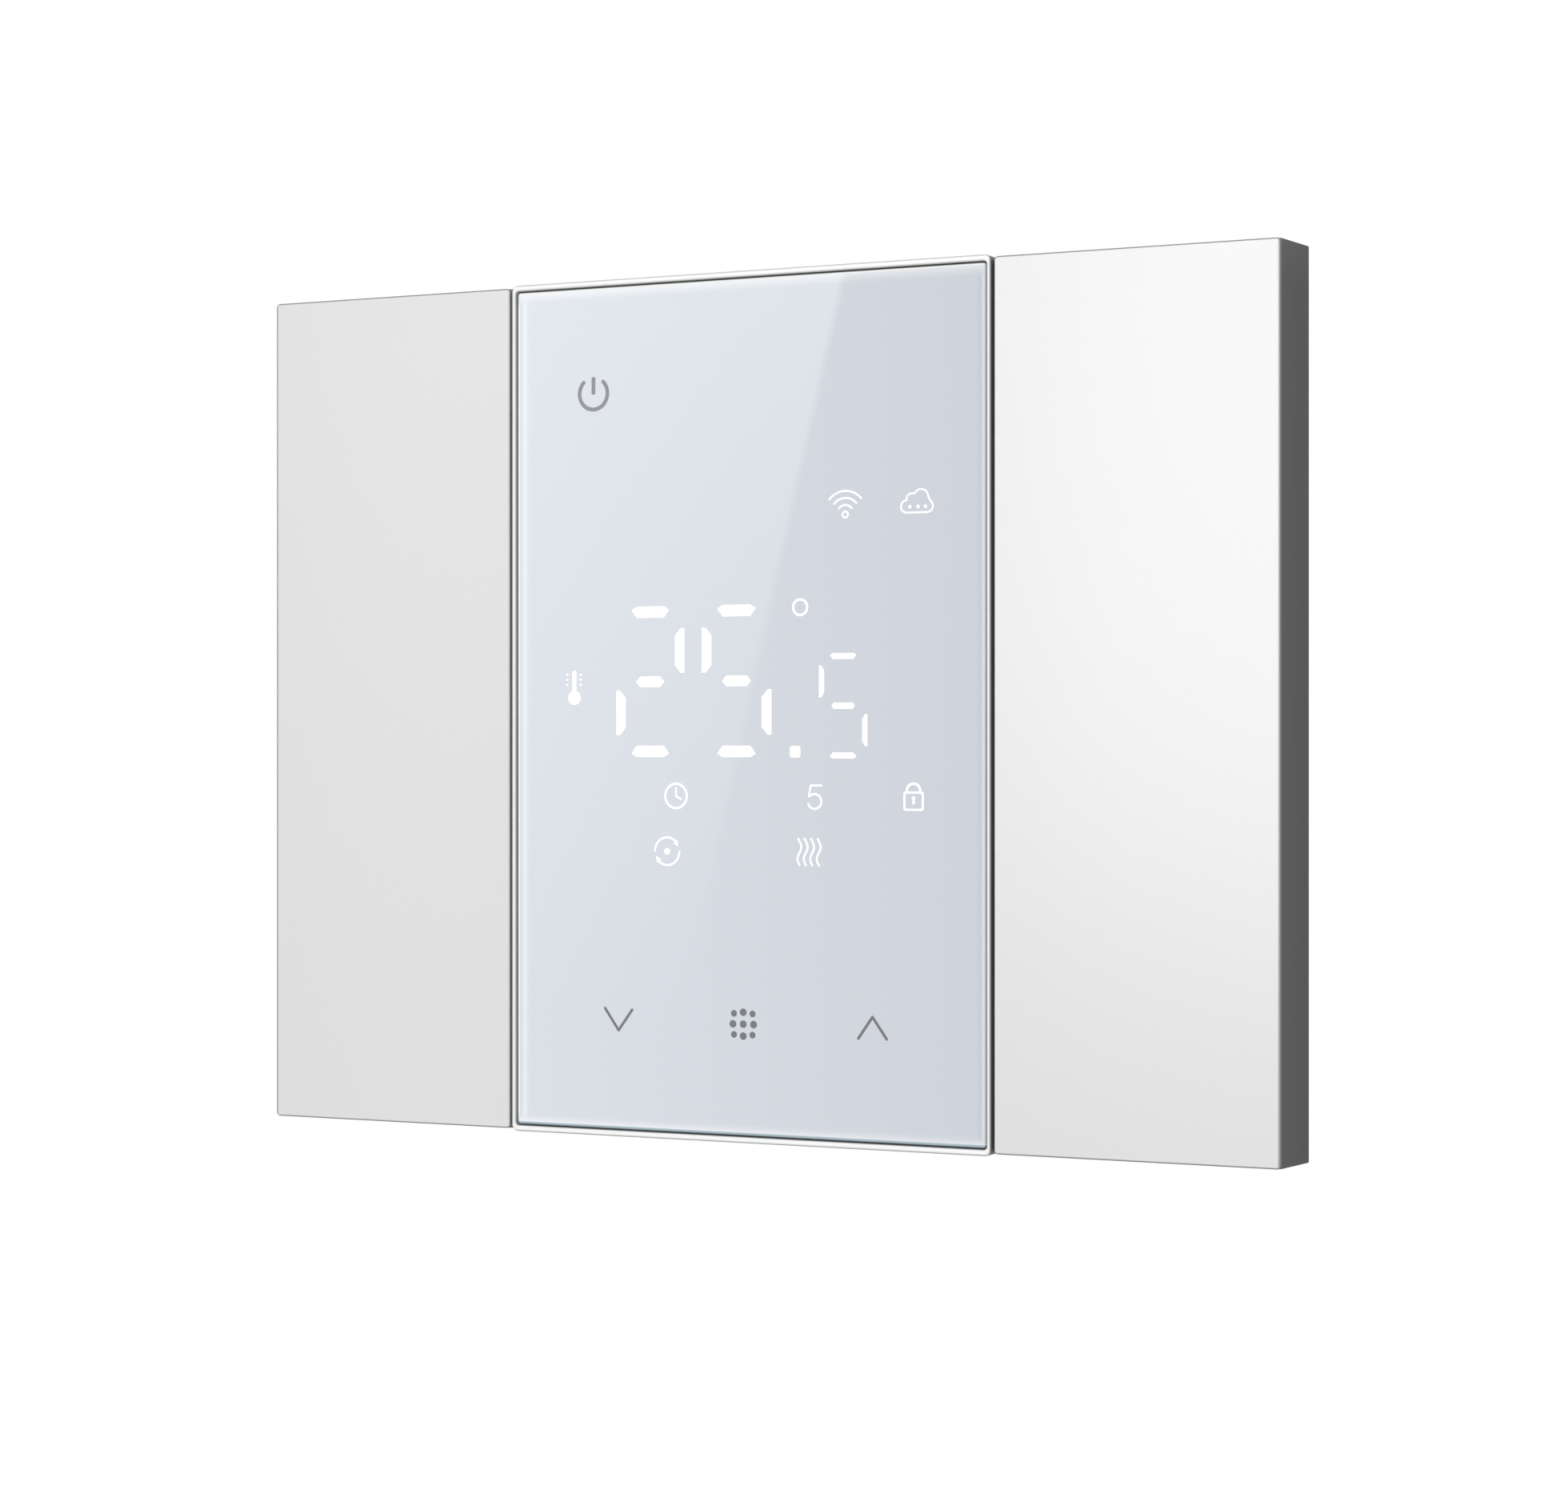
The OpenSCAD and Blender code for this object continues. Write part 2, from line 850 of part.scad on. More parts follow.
module terminal_screw(i) color("#d8d9db") {
    at_pole(i)
        difference() {
            union() {
                sheet(-head_seat_in, -bar_in[1] - 0.15)
                    circle(clamp_screw_r);
                sheet(-head_seat_in - 1.6, -head_seat_in)
                    circle(2.4);
            }
            sheet(-head_seat_in - 2, -head_seat_in - 0.8)
                square([6, 0.7], center = true);
        }
}

// Lifting cage: a short tube open along Z, with the screw through its wall-side face
module terminal_cage(i) color("#d2b55b") {
    at_pole(i)
        difference() {
            sheet(-cage_in[1], -cage_in[0])
                square([cage_w, cage_l], center = true);
            sheet(-cage_in[1] + 1.4, -cage_in[0] - 1)
                square([cage_w - 1.4, cage_l + 1], center = true);
            sheet(-cage_in[1] - 1, -cage_in[1] + 2)
                circle(clamp_screw_r + screw_fit);
        }
}

base_frame();
support_plate();
frame_screws();
left_cover();
right_cover();
front_bezel();
touch_glass();
glass_adhesive();
diffuser_film();
light_box();
display_leds();
touch_springs();
control_board();
microcontroller();
touch_controller();
radio_module();
buzzer();
room_sensor();
head_header();
head_back_cover();
head_screws();
rear_housing();
housing_screws();
housing_lid();
lid_screws();
power_board();
header_socket();
transformer_core();
transformer_winding();
electrolytic_capacitors();
suppression_capacitor();
varistor();
fuse();
converter_chip();
relay_case();
relay_coil();
relay_armature();
terminal_block();
terminal_contacts();
for (i = [0 : poles - 1]) {
    terminal_screw(i);
    terminal_cage(i);
}
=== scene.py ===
"""Looks of a flush-mounted touch thermostat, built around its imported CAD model.

Lengths are millimetres, as in the CAD, until MM turns them into metres. A depth is a distance out
from the wall plane towards the room, so y = -depth. A flat outline is a list of (x, z) points.
"""

import json
import math

import bmesh
import bpy
from mathutils import Matrix, Vector

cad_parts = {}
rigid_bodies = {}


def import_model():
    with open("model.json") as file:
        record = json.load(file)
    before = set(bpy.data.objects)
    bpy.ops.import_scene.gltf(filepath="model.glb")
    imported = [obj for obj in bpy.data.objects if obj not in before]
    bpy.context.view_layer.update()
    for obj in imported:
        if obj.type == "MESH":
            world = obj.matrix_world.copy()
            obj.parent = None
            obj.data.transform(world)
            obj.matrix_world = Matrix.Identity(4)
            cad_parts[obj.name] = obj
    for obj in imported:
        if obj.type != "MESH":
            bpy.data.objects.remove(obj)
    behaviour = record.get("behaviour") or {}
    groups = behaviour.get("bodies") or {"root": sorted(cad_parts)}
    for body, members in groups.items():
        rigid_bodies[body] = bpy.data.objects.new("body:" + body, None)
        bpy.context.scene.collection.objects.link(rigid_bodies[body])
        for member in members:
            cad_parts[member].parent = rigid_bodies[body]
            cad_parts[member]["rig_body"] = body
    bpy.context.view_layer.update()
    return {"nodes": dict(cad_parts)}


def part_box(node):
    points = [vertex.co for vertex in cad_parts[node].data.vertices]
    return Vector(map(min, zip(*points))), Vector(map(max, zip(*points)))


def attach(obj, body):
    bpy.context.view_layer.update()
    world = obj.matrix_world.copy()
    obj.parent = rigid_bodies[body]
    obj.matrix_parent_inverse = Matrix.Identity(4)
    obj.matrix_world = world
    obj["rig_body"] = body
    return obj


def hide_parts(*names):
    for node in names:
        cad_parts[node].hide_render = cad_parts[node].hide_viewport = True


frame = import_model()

MM = 0.001
TURN = 2 * math.pi
NODES = frame["nodes"]


def span(node):
    """Lowest and highest corner of a CAD node, in millimetres."""
    low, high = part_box(node)
    return low / MM, high / MM


# ---- flat outlines ----


def arc(centre, radius, start, finish, steps):
    """Points along an arc, with its angles in degrees from +x towards +z."""
    points = []
    for i in range(steps + 1):
        angle = math.radians(start + (finish - start) * i / steps)
        points.append((centre[0] + radius * math.cos(angle), centre[1] + radius * math.sin(angle)))
    return points


def circle(centre, radius, steps=32):
    return arc(centre, radius, 0, 360 * (steps - 1) / steps, steps - 1)


def rounded_box(centre, width, height, radius, steps=5):
    """Rectangle with round corners."""
    x, z = width / 2 - radius, height / 2 - radius
    loop = []
    for i, (sx, sz) in enumerate([(1, 1), (-1, 1), (-1, -1), (1, -1)]):
        corner = (centre[0] + sx * x, centre[1] + sz * z)
        loop += arc(corner, radius, 90 * i, 90 * i + 90, steps)
    return loop


def rounded_loop(points, radius, steps=3):
    """A closed outline whose corners are all rounded."""
    loop = []
    for i, point in enumerate(points):
        here = Vector(point)
        before = (Vector(points[i - 1]) - here).normalized()
        after = (Vector(points[(i + 1) % len(points)]) - here).normalized()
        half = before.angle(after) / 2
        middle = here + (before + after).normalized() * (radius / math.sin(half))
        first = here + before * (radius / math.tan(half)) - middle
        last = here + after * (radius / math.tan(half)) - middle
        swing = first.angle_signed(last)
        for k in range(steps + 1):
            angle = math.atan2(first.y, first.x) - swing * k / steps
            loop.append((middle.x + radius * math.cos(angle), middle.y + radius * math.sin(angle)))
    return loop


def stroke(points, width, cap_steps=8):
    """Outline of a line of even width with round ends and round outer corners."""
    line = [Vector(p) for p in points]
    half = width / 2

    def side(path):
        edge = []
        for i in range(1, len(path) - 1):
            a = (path[i] - path[i - 1]).normalized()
            b = (path[i + 1] - path[i]).normalized()
            na, nb = Vector((-a.y, a.x)), Vector((-b.y, b.x))
            bend = a.x * b.y - a.y * b.x
            if bend < -0.3:
                start = math.degrees(math.atan2(na.y, na.x))
                swing = math.degrees(math.atan2(bend, a.dot(b)))
                edge += arc(path[i], half, start, start + swing, 6)
            else:
                edge.append(tuple(path[i] + (na + nb) * (half / (1 + na.dot(nb)))))
        return edge

    def cap(end, before):
        along = (end - before).normalized()
        start = math.degrees(math.atan2(along.x, -along.y)) + 180
        return arc(end, half, start + 180, start, cap_steps)

    back = line[::-1]
    return side(line) + cap(line[-1], line[-2]) + side(back) + cap(back[-1], back[-2])


def oriented(loop, anticlockwise):
    area = sum(a[0] * b[1] - b[0] * a[1] for a, b in zip(loop, loop[1:] + loop[:1]))
    return list(loop) if (area > 0) == anticlockwise else list(loop)[::-1]


def inset(loop, distance):
    """The loop moved to its left, with mitred corners."""
    moved = []
    for i, point in enumerate(loop):
        here = Vector(point)
        a = (here - Vector(loop[i - 1])).normalized()
        b = (Vector(loop[(i + 1) % len(loop)]) - here).normalized()
        na, nb = Vector((-a.y, a.x)), Vector((-b.y, b.x))
        moved.append(here + (na + nb) * (distance / (1 + na.dot(nb))))
    return moved


# ---- meshes ----

# Turn (across, up, depth) into the shared frame, with depths counted out of the wall or, for INWARD, into
# it. ACROSS does it for (up, depth, across).
FACING = Matrix(((MM, 0, 0, 0), (0, 0, -MM, 0), (0, MM, 0, 0), (0, 0, 0, 1)))
INWARD = Matrix(((MM, 0, 0, 0), (0, 0, MM, 0), (0, MM, 0, 0), (0, 0, 0, 1)))
ACROSS = Matrix(((0, 0, MM, 0), (0, -MM, 0, 0), (MM, 0, 0, 0), (0, 0, 0, 1)))


def edge_rings(back, front, back_r=0.0, front_r=0.0, steps=3):
    """Rings (depth, inset) of a slab with rounded back and front edges."""
    rings = []
    for i in range(steps + 1 if back_r else 1):
        angle = math.pi / 2 * i / steps
        rings.append((back + back_r * (1 - math.cos(angle)), back_r * (1 - math.sin(angle))))
    for i in range(steps + 1 if front_r else 1):
        angle = math.pi / 2 * (1 - i / steps)
        rings.append((front - front_r * (1 - math.cos(angle)), front_r * (1 - math.sin(angle))))
    return rings


def bridge(bm, low, high):
    """Joins two rings of as many vertices with faces."""
    for i in range(len(low)):
        bm.faces.new((low[i - 1], low[i], high[i], high[i - 1]))


def fill(bm, rings):
    """Fills the flat area between rings of vertices."""
    edges = [bm.edges.get((ring[i - 1], ring[i])) for ring in rings for i in range(len(ring))]
    bmesh.ops.triangle_fill(bm, use_beauty=True, use_dissolve=False, edges=edges)


def add_slab(bm, loops, rings, place=FACING):
    """Adds a flat outline with holes, swept through rings of (depth, inset)."""
    ends = []
    for number, loop in enumerate(loops):
        turned = oriented(loop, number == 0)
        layers = []
        for depth, distance in rings:
            moved = inset(turned, distance)
            layers.append([bm.verts.new(place @ Vector((p.x, p.y, depth))) for p in moved])
        for low, high in zip(layers, layers[1:]):
            bridge(bm, low, high)
        ends.append((layers[0], layers[-1]))
    for end in (0, 1):
        if len(loops) == 1:
            bm.faces.new(ends[0][end])
        else:
            fill(bm, [pair[end] for pair in ends])


def add_lathe(bm, centre, profile, steps=32, place=FACING):
    """Adds a turned shape round a line through centre, from (radius, depth) points.

    Returns its last ring."""
    layers = []
    for radius, depth in profile:
        if radius == 0:
            layers.append([bm.verts.new(place @ Vector((centre[0], centre[1], depth)))])
        else:
            ring = circle(centre, radius, steps)
            layers.append([bm.verts.new(place @ Vector((x, z, depth))) for x, z in ring])
    for low, high in zip(layers, layers[1:]):
        for i in range(steps):
            corners = [low[(i - 1) % len(low)], low[i % len(low)],
                       high[i % len(high)], high[(i - 1) % len(high)]]
            bm.faces.new(list(dict.fromkeys(corners)))
    return layers[-1]


def add_recess(bm, rim, outline, top, bottom, draft, place=FACING):
    """Closes a ring of vertices with a flat face that has a tapering recess in it."""
    upper, lower = [
        [bm.verts.new(place @ Vector((p[0], p[1], depth))) for p in inset(outline, distance)]
        for depth, distance in ((top, 0), (bottom, draft))
    ]
    bridge(bm, upper, lower)
    bm.faces.new(lower)
    fill(bm, (rim, upper))


def plus(centre, across, up):
    """Outline of a cross. across and up are (half length, half width) of its two arms."""
    (a, b), (c, d) = across, up
    corners = [(a, -b), (a, b), (d, b), (d, c), (-d, c), (-d, b),
               (-a, b), (-a, -b), (-d, -b), (-d, -c), (d, -c), (d, -b)]
    return [(centre[0] + x, centre[1] + z) for x, z in corners]


# Outline of a screw head, from (part of its radius, part of its height) points
SCREW_DOME = ((0.97, 0), (1, 0.1), (1, 0.42), (0.97, 0.64), (0.9, 0.84), (0.82, 0.95), (0.74, 1))


def add_screw(bm, centre, seat, tip, shank, head, height, recess, place=FACING, pitch=0.5):
    """Adds a screw with a domed head and a thread. recess is its outline's arms, as for plus()."""
    core = shank * 0.84
    profile = [(0, tip), (shank * 0.55, tip)]
    depth = tip + pitch * 0.6
    while depth < seat - pitch:
        profile += [(core, depth), (core, depth + pitch * 0.2), (shank, depth + pitch * 0.6)]
        depth += pitch
    profile += [(core, depth), (core, seat)]
    profile += [(head * wide, seat + height * high) for wide, high in SCREW_DOME]
    rim = add_lathe(bm, centre, profile, 36, place)
    add_recess(bm, rim, plus(centre, *recess), seat + height, seat + height * 0.45, 0.07, place)


def add_tube(bm, path, radius, sides=8, place=FACING):
    """Adds a round wire along points (x, z, depth)."""
    line = [Vector(p) for p in path]
    layers = []
    normal = None
    for i, point in enumerate(line):
        along = (line[min(i + 1, len(line) - 1)] - line[max(i - 1, 0)]).normalized()
        if normal is None:
            normal = along.orthogonal().normalized()
        normal = (normal - along * normal.dot(along)).normalized()
        side = along.cross(normal)
        ring = []
        for k in range(sides):
            angle = TURN * k / sides
            out = normal * math.cos(angle) + side * math.sin(angle)
            ring.append(bm.verts.new(place @ (point + out * radius)))
        layers.append(ring)
    for low, high in zip(layers, layers[1:]):
        bridge(bm, low, high)
    bm.faces.new(layers[0])
    bm.faces.new(layers[-1])


def add_block(bm, low, high, edge=0.0, segments=2, place=FACING):
    """Adds a box between two corners (x, z, depth), with rounded edges."""
    made = bmesh.ops.create_cube(bm, size=1)["verts"]
    middle = [(a + b) / 2 for a, b in zip(low, high)]
    size = [b - a for a, b in zip(low, high)]
    for vertex in made:
        vertex.co = place @ Vector([m + s * c for m, s, c in zip(middle, size, vertex.co)])
    if edge:
        edges = list({e for v in made for e in v.link_edges})
        bmesh.ops.bevel(bm, geom=edges, offset=edge * MM, segments=segments, profile=0.5, affect="EDGES")


# Blocks of a gull-wing lead: (near end, far end) from the chip's side, and (low, high) over the board
GULL_WING = ((-0.1, 0.4, 0.5, 0.65), (0.28, 0.42, 0, 0.65), (0.28, 0.8, 0, 0.15))


def add_chip(bm, centre, seat, size, height, leads, place=FACING):
    """Adds a moulded chip body; returns the blocks of its gull-wing leads as (low, high) corners."""
    x, z = centre
    w, h = size[0] / 2, size[1] / 2
    add_block(bm, (x - w, z - h, seat + 0.1), (x + w, z + h, seat + height), 0.12, 1, place)
    spot = (x - w + 0.8, z + h - 0.8)
    under, over = seat + height - 0.1, seat + height + 0.02
    add_lathe(bm, spot, [(0, under), (0.35, under), (0.32, over), (0, over)], 20, place)
    blocks = []
    pitch = size[0] / (leads + 1)
    for i in range(1, leads + 1):
        left = x - w + i * pitch - pitch / 4
        right = left + pitch / 2
        for side in (-1, 1):
            for near, far, low, high in GULL_WING:
                ends = sorted((z + side * (h + near), z + side * (h + far)))
                blocks.append(((left, ends[0], seat + low), (right, ends[1], seat + high)))
    return blocks


def placed(name, data):
    """Puts a new object into the scene."""
    made = bpy.data.objects.new(name, data)
    bpy.context.scene.collection.objects.link(made)
    return made


def piece(name, bm, near, surface, replaces=(), smooth=True):
    """Makes a shown object of bm that rides on the body of the CAD node near."""
    bmesh.ops.recalc_face_normals(bm, faces=bm.faces)
    mesh = bpy.data.meshes.new(name)
    bm.to_mesh(mesh)
    bm.free()
    mesh.materials.append(surface)
    made = placed(name, mesh)
    if smooth:
        shade(made)
    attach(made, NODES[near]["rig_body"])
    if replaces:
        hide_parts(*replaces)


def shade(obj):
    """Smooth shading that keeps flat faces flat."""
    obj.data.shade_smooth()
    weighted = obj.modifiers.new("weighted_normals", "WEIGHTED_NORMAL")
    weighted.weight = 80
    weighted.keep_sharp = True


def bevel(obj, name, width, segments=2):
    made = obj.modifiers.new(name, "BEVEL")
    made.width = width * MM
    made.segments = segments
    made.limit_method = "ANGLE"
    made.angle_limit = math.radians(40)
    made.use_clamp_overlap = False
    made.loop_slide = False
    return made


def soften(node, edge, surface, rounder=None):
    """Rounds the edges of a carried-over CAD node and gives it its material.

    rounder is a width and a test of a corner's place, in millimetres, for edges rounder than the others."""
    obj = NODES[node]
    for place in obj.material_slots:
        place.material = surface
    weld = obj.modifiers.new("weld", "WELD")
    weld.merge_threshold = 0.002 * MM
    flat = obj.modifiers.new("flat_faces", "DECIMATE")
    flat.decimate_type = "DISSOLVE"
    flat.angle_limit = math.radians(1)
    if rounder:
        width, chosen = rounder
        group = obj.vertex_groups.new(name="rounder_edges")
        group.add([v.index for v in obj.data.vertices if chosen(v.co / MM)], 1.0, "REPLACE")
        first = bevel(obj, "rounder_edges", width, 4)
        first.limit_method = "VGROUP"
        first.vertex_group = group.name
    if edge:
        bevel(obj, "edges", edge)
    shade(obj)


# ---- materials ----


class Graph:
    """A node tree, put together node by node."""

    def __init__(self, owner):
        owner.use_nodes = True
        self.tree = owner.node_tree

    def plug(self, socket, value):
        if isinstance(value, bpy.types.NodeSocket):
            self.tree.links.new(value, socket)
        elif socket.type == "RGBA" and len(value) == 3:
            socket.default_value = (*value, 1)
        else:
            socket.default_value = value

    def put(self, made, **values):
        for key, value in values.items():
            self.plug(made.inputs[key.replace("_", " ")], value)

    def add(self, kind, settings=None, **values):
        made = self.tree.nodes.new("ShaderNode" + kind)
        for key, value in (settings or {}).items():
            setattr(made, key, value)
        self.put(made, **values)
        return made

    def split(self, place):
        """The X, Y and Z parts of a place."""
        return self.add("SeparateXYZ", Vector=place).outputs

    def ranged(self, value, low, high, to_low=0.0, to_high=1.0, smooth=False):
        kind = {"interpolation_type": "SMOOTHSTEP"} if smooth else {}
        ends = {"From_Min": low, "From_Max": high, "To_Min": to_low, "To_Max": to_high}
        return self.add("MapRange", kind, Value=value, **ends).outputs["Result"]

    def maths(self, how, *values):
        made = self.add("Math", {"operation": how})
        for socket, value in zip(made.inputs, values):
            self.plug(socket, value)
        return made.outputs["Value"]

    def times(self, first, *others):
        for other in others:
            first = self.maths("MULTIPLY", first, other)
        return first


class Surface(Graph):
    """A Principled material."""

    def __init__(self, name, **values):
        self.material = bpy.data.materials.new(name)
        super().__init__(self.material)
        self.shader = self.tree.nodes["Principled BSDF"]
        self.place = self.add("TexCoord").outputs["Object"]
        self.put(self.shader, **values)

    def stretched(self, along):
        """Object coordinates scaled by (x, y, z)."""
        return self.add("Mapping", Vector=self.place, Scale=along).outputs["Vector"]

    def noise(self, size, detail=2.0, at=None):
        """Noise whose grains are about size millimetres."""
        made = self.add("TexNoise", Vector=at or self.place, Scale=1 / (size * MM), Detail=detail)
        return made.outputs["Fac"]

    def mix(self, factor, first, second, how="MIX"):
        """Mixes two colours, whose sockets are the seventh and eighth of the node."""
        made = self.add("Mix", {"data_type": "RGBA", "blend_type": how})
        for index, value in ((0, factor), (6, first), (7, second)):
            self.plug(made.inputs[index], value)
        return made.outputs[2]

    def bumped(self, height, depth, strength=1.0, on=None):
        """Bump of about depth millimetres."""
        values = {"Height": height, "Distance": depth * MM, "Strength": strength}
        if on is not None:
            values["Normal"] = on
        return self.add("Bump", **values).outputs["Normal"]

    def finish(self, **values):
        self.put(self.shader, **values)
        return self.material


def tone(hex_colour):
    """Linear colour of a display colour such as "e3e4e5"."""
    parts = [int(hex_colour[i:i + 2], 16) / 255 for i in (0, 2, 4)]
    return tuple(c / 12.92 if c <= 0.04045 else ((c + 0.055) / 1.055) ** 2.4 for c in parts)


def shaded(colour, factor):
    return tuple(c * factor for c in colour)


def moulded(name, colour, roughness, grain=0.15, relief=0.004, unevenness=0.03, gloss_change=0.03,
            painted_lighting=None, **values):
    """Moulded plastic: a fine grain, and slight changes of tone and gloss.

    tones makes a factor of the colour from a surface, for painted light and shade."""
    s = Surface(name, **values)
    cloud = s.noise(14, 3)
    colour_out = s.mix(cloud, shaded(colour, 1 - unevenness), shaded(colour, 1 + unevenness))
    if painted_lighting:
        colour_out = s.mix(1.0, colour_out, painted_lighting(s), "MULTIPLY")
    gloss = s.ranged(s.noise(3, 4), 0.3, 0.7, roughness - gloss_change, roughness + gloss_change)
    return s.finish(Base_Color=colour_out, Roughness=gloss, Normal=s.bumped(s.noise(grain, 2), relief))


def metal(name, colour, roughness, brush=(1, 1, 1), relief=0.002, stain=0.08, **values):
    """Metal with fine scratches, drawn out along the small numbers of brush."""
    s = Surface(name, Metallic=1.0, **values)
    scratch = s.noise(0.12, 3, s.stretched(brush))
    cloud = s.noise(5, 4)
    colour_out = s.mix(cloud, shaded(colour, 1 - stain), colour)
    gloss = s.ranged(scratch, 0.3, 0.7, roughness * 0.75, roughness * 1.3)
    return s.finish(Base_Color=colour_out, Roughness=gloss, Normal=s.bumped(scratch, relief))


GLASS = (0.645, 0.68, 0.742)

# Painted highlights and shade along each edge of the glass, standing in for the light that its polished
# edges catch: (distance from the edge, colour, how much of it)
GLASS_PAINTED_LIGHT_LEFT = (
    (0, (1, 1, 1), 1), (0.28, (1, 1, 1), 1), (0.36, (0.60, 0.67, 0.70), 1),
    (1.1, (0.80, 0.82, 0.86), 1), (1.7, GLASS, 0),
)
GLASS_PAINTED_LIGHT_RIGHT = (
    (0, (0.76, 0.78, 0.83), 1), (0.42, (0.74, 0.76, 0.81), 1), (0.5, (0.60, 0.63, 0.69), 1),
    (1.6, GLASS, 0),
)
GLASS_PAINTED_LIGHT_TOP = (
    (0, (1, 1, 1), 1), (0.2, (1, 1, 1), 1), (0.26, (0.84, 0.86, 0.88), 0.9),
    (0.9, (0.72, 0.76, 0.79), 0.8), (1.6, GLASS, 0),
)
GLASS_PAINTED_LIGHT_BOTTOM = (
    (0, (0.42, 0.53, 0.60), 1), (0.3, (0.44, 0.55, 0.60), 1), (0.36, (0.82, 0.84, 0.88), 1),
    (1.4, GLASS, 0),
)


def glass_surface():
    """Back-painted glass: pale blue, with painted highlights and shade along its edges for the light that
    its polished edges catch.
    """
    low, high = span("touch_glass")
    s = Surface("back_painted_glass", Roughness=0.01, IOR=1.5, Specular_IOR_Level=0.5)
    x, _, z = s.split(s.place)
    colour = s.mix(s.noise(30, 2), GLASS, shaded(GLASS, 1.01))
    sides = (
        (s.maths("SUBTRACT", x, low.x * MM), GLASS_PAINTED_LIGHT_LEFT),
        (s.maths("SUBTRACT", high.x * MM, x), GLASS_PAINTED_LIGHT_RIGHT),
        (s.maths("SUBTRACT", high.z * MM, z), GLASS_PAINTED_LIGHT_TOP),
        (s.maths("SUBTRACT", z, low.z * MM), GLASS_PAINTED_LIGHT_BOTTOM),
    )
    # Lays each edge's painted highlights and shade over the glass colour
    for distance, stops in sides:
        reach = stops[-1][0]
        ramp = s.add("ValToRGB", Fac=s.maths("DIVIDE", distance, reach * MM))
        band = ramp.color_ramp
        while len(band.elements) < len(stops):
            band.elements.new(0.5)
        for element, (at, colour_at, cover) in zip(band.elements, stops):
            element.position = at / reach
            element.color = (*colour_at, cover)
        colour = s.mix(ramp.outputs["Alpha"], colour, ramp.outputs["Color"])
    return s.finish(Base_Color=colour)


def print_surface(name, colour):
    """Screen print: matt ink with a slightly uneven coat."""
    s = Surface(name, Roughness=0.4)
    return s.finish(Base_Color=s.mix(s.noise(0.3, 3), shaded(colour, 0.96), shaded(colour, 1.04)))


def lit_surface(name, glow):
    """A lit display symbol, whose glow is slightly uneven."""
    s = Surface(name, Roughness=0.3, Base_Color=(0.8, 0.8, 0.8), Emission_Color=(1, 1, 1))
    return s.finish(Emission_Strength=s.ranged(s.noise(1.5, 1), 0.2, 0.8, glow * 0.95, glow * 1.05))


# Painted shade on the cut edges of the covers and on the walls of the rim: how bright they are, as a part
# of their front
COVER_EDGE_SHADE = 0.45
RIM_WALL_SHADE = 0.5


def to_outline(s, node):
    """Distances of a point, or of its mirror image, from the right and the upper side of a node."""
    x, _, z = s.split(s.place)
    high = span(node)[1]
    across = s.maths("SUBTRACT", high.x * MM, s.maths("ABSOLUTE", x))
    up = s.maths("SUBTRACT", high.z * MM, s.maths("ABSOLUTE", z))
    return across, up


def cover_painted_lighting(s):
    """Painted shade: the cut edges around a cover are darkened below its face, where the light falls off on
    them.
    """
    across, up = to_outline(s, "right_cover")
    return s.maths("MINIMUM", s.ranged(across, 0.19 * MM, 0.33 * MM, COVER_EDGE_SHADE, 1),
                   s.ranged(up, 0.14 * MM, 0.2 * MM, COVER_EDGE_SHADE, 1))


def frame_painted_lighting(s):
    """Painted light and shade: the slab is a touch lighter towards its front and top, darkened along its
    back rim and its top and bottom edges, and darker over its back and the recesses inside its outer skin.
    """
    across, up = to_outline(s, "base_frame")
    _, y, z = s.split(s.place)
    skin = s.times(s.ranged(y, -8.4 * MM, -3 * MM, 1.12, 1), s.ranged(z, 44 * MM, 48 * MM, 1, 1.16),
                   s.ranged(y, -0.5 * MM, -0.25 * MM, 1, 0.3), s.ranged(up, 0.02 * MM, 0.1 * MM, 0.3, 1))
    inside = s.maths("MINIMUM", s.maths("GREATER_THAN", s.maths("MINIMUM", across, up), 0.5 * MM),
                     s.maths("GREATER_THAN", y, -7 * MM))
    return s.ranged(inside, 0, 1, skin, 0.5)


def rim_painted_lighting(s):
    """Painted shade: the rim is white on its front, and darkened on its walls and along its right, top and
    bottom edges, as light falls off there; further back its skirt is white again.
    """
    low, high = span("front_bezel")
    x, y, z = s.split(s.place)
    wall = s.ranged(y, (low.y + 0.08) * MM, (low.y + 0.2) * MM, 1, RIM_WALL_SHADE)
    right = s.ranged(x, (high.x - 0.2) * MM, high.x * MM, 1, 0.45)
    bottom = s.ranged(z, low.z * MM, (low.z + 0.2) * MM, 0.5, 1)
    top = s.ranged(z, (high.z - 0.2) * MM, high.z * MM, 1, 0.7)
    inner = s.ranged(y, (low.y + 0.5) * MM, (low.y + 2.5) * MM, 0.2, 1)
    return s.maths("MAXIMUM", s.times(wall, right, bottom, top), inner)


# Covers, rim and frame get painted light and shade on their colour from the functions above
cover_plastic = moulded("white_cover", (0.685, 0.688, 0.695), 0.2, relief=0.0004, unevenness=0.002,
                        gloss_change=0.003, painted_lighting=cover_painted_lighting)
rim_plastic = moulded("white_rim", (0.84, 0.84, 0.84), 0.32, relief=0.0005, unevenness=0.003,
                      gloss_change=0.005, painted_lighting=rim_painted_lighting)
frame_plastic = moulded("dark_plastic", (0.165, 0.165, 0.165), 0.5, relief=0.002, unevenness=0.02,
                        painted_lighting=frame_painted_lighting, Specular_IOR_Level=0.4)
glass_material = glass_surface()
printed = print_surface("key_print", tone("6f7173"))
printed_power = print_surface("power_key_print", tone("8b8d90"))
lit = lit_surface("lit_symbol", 0.26)

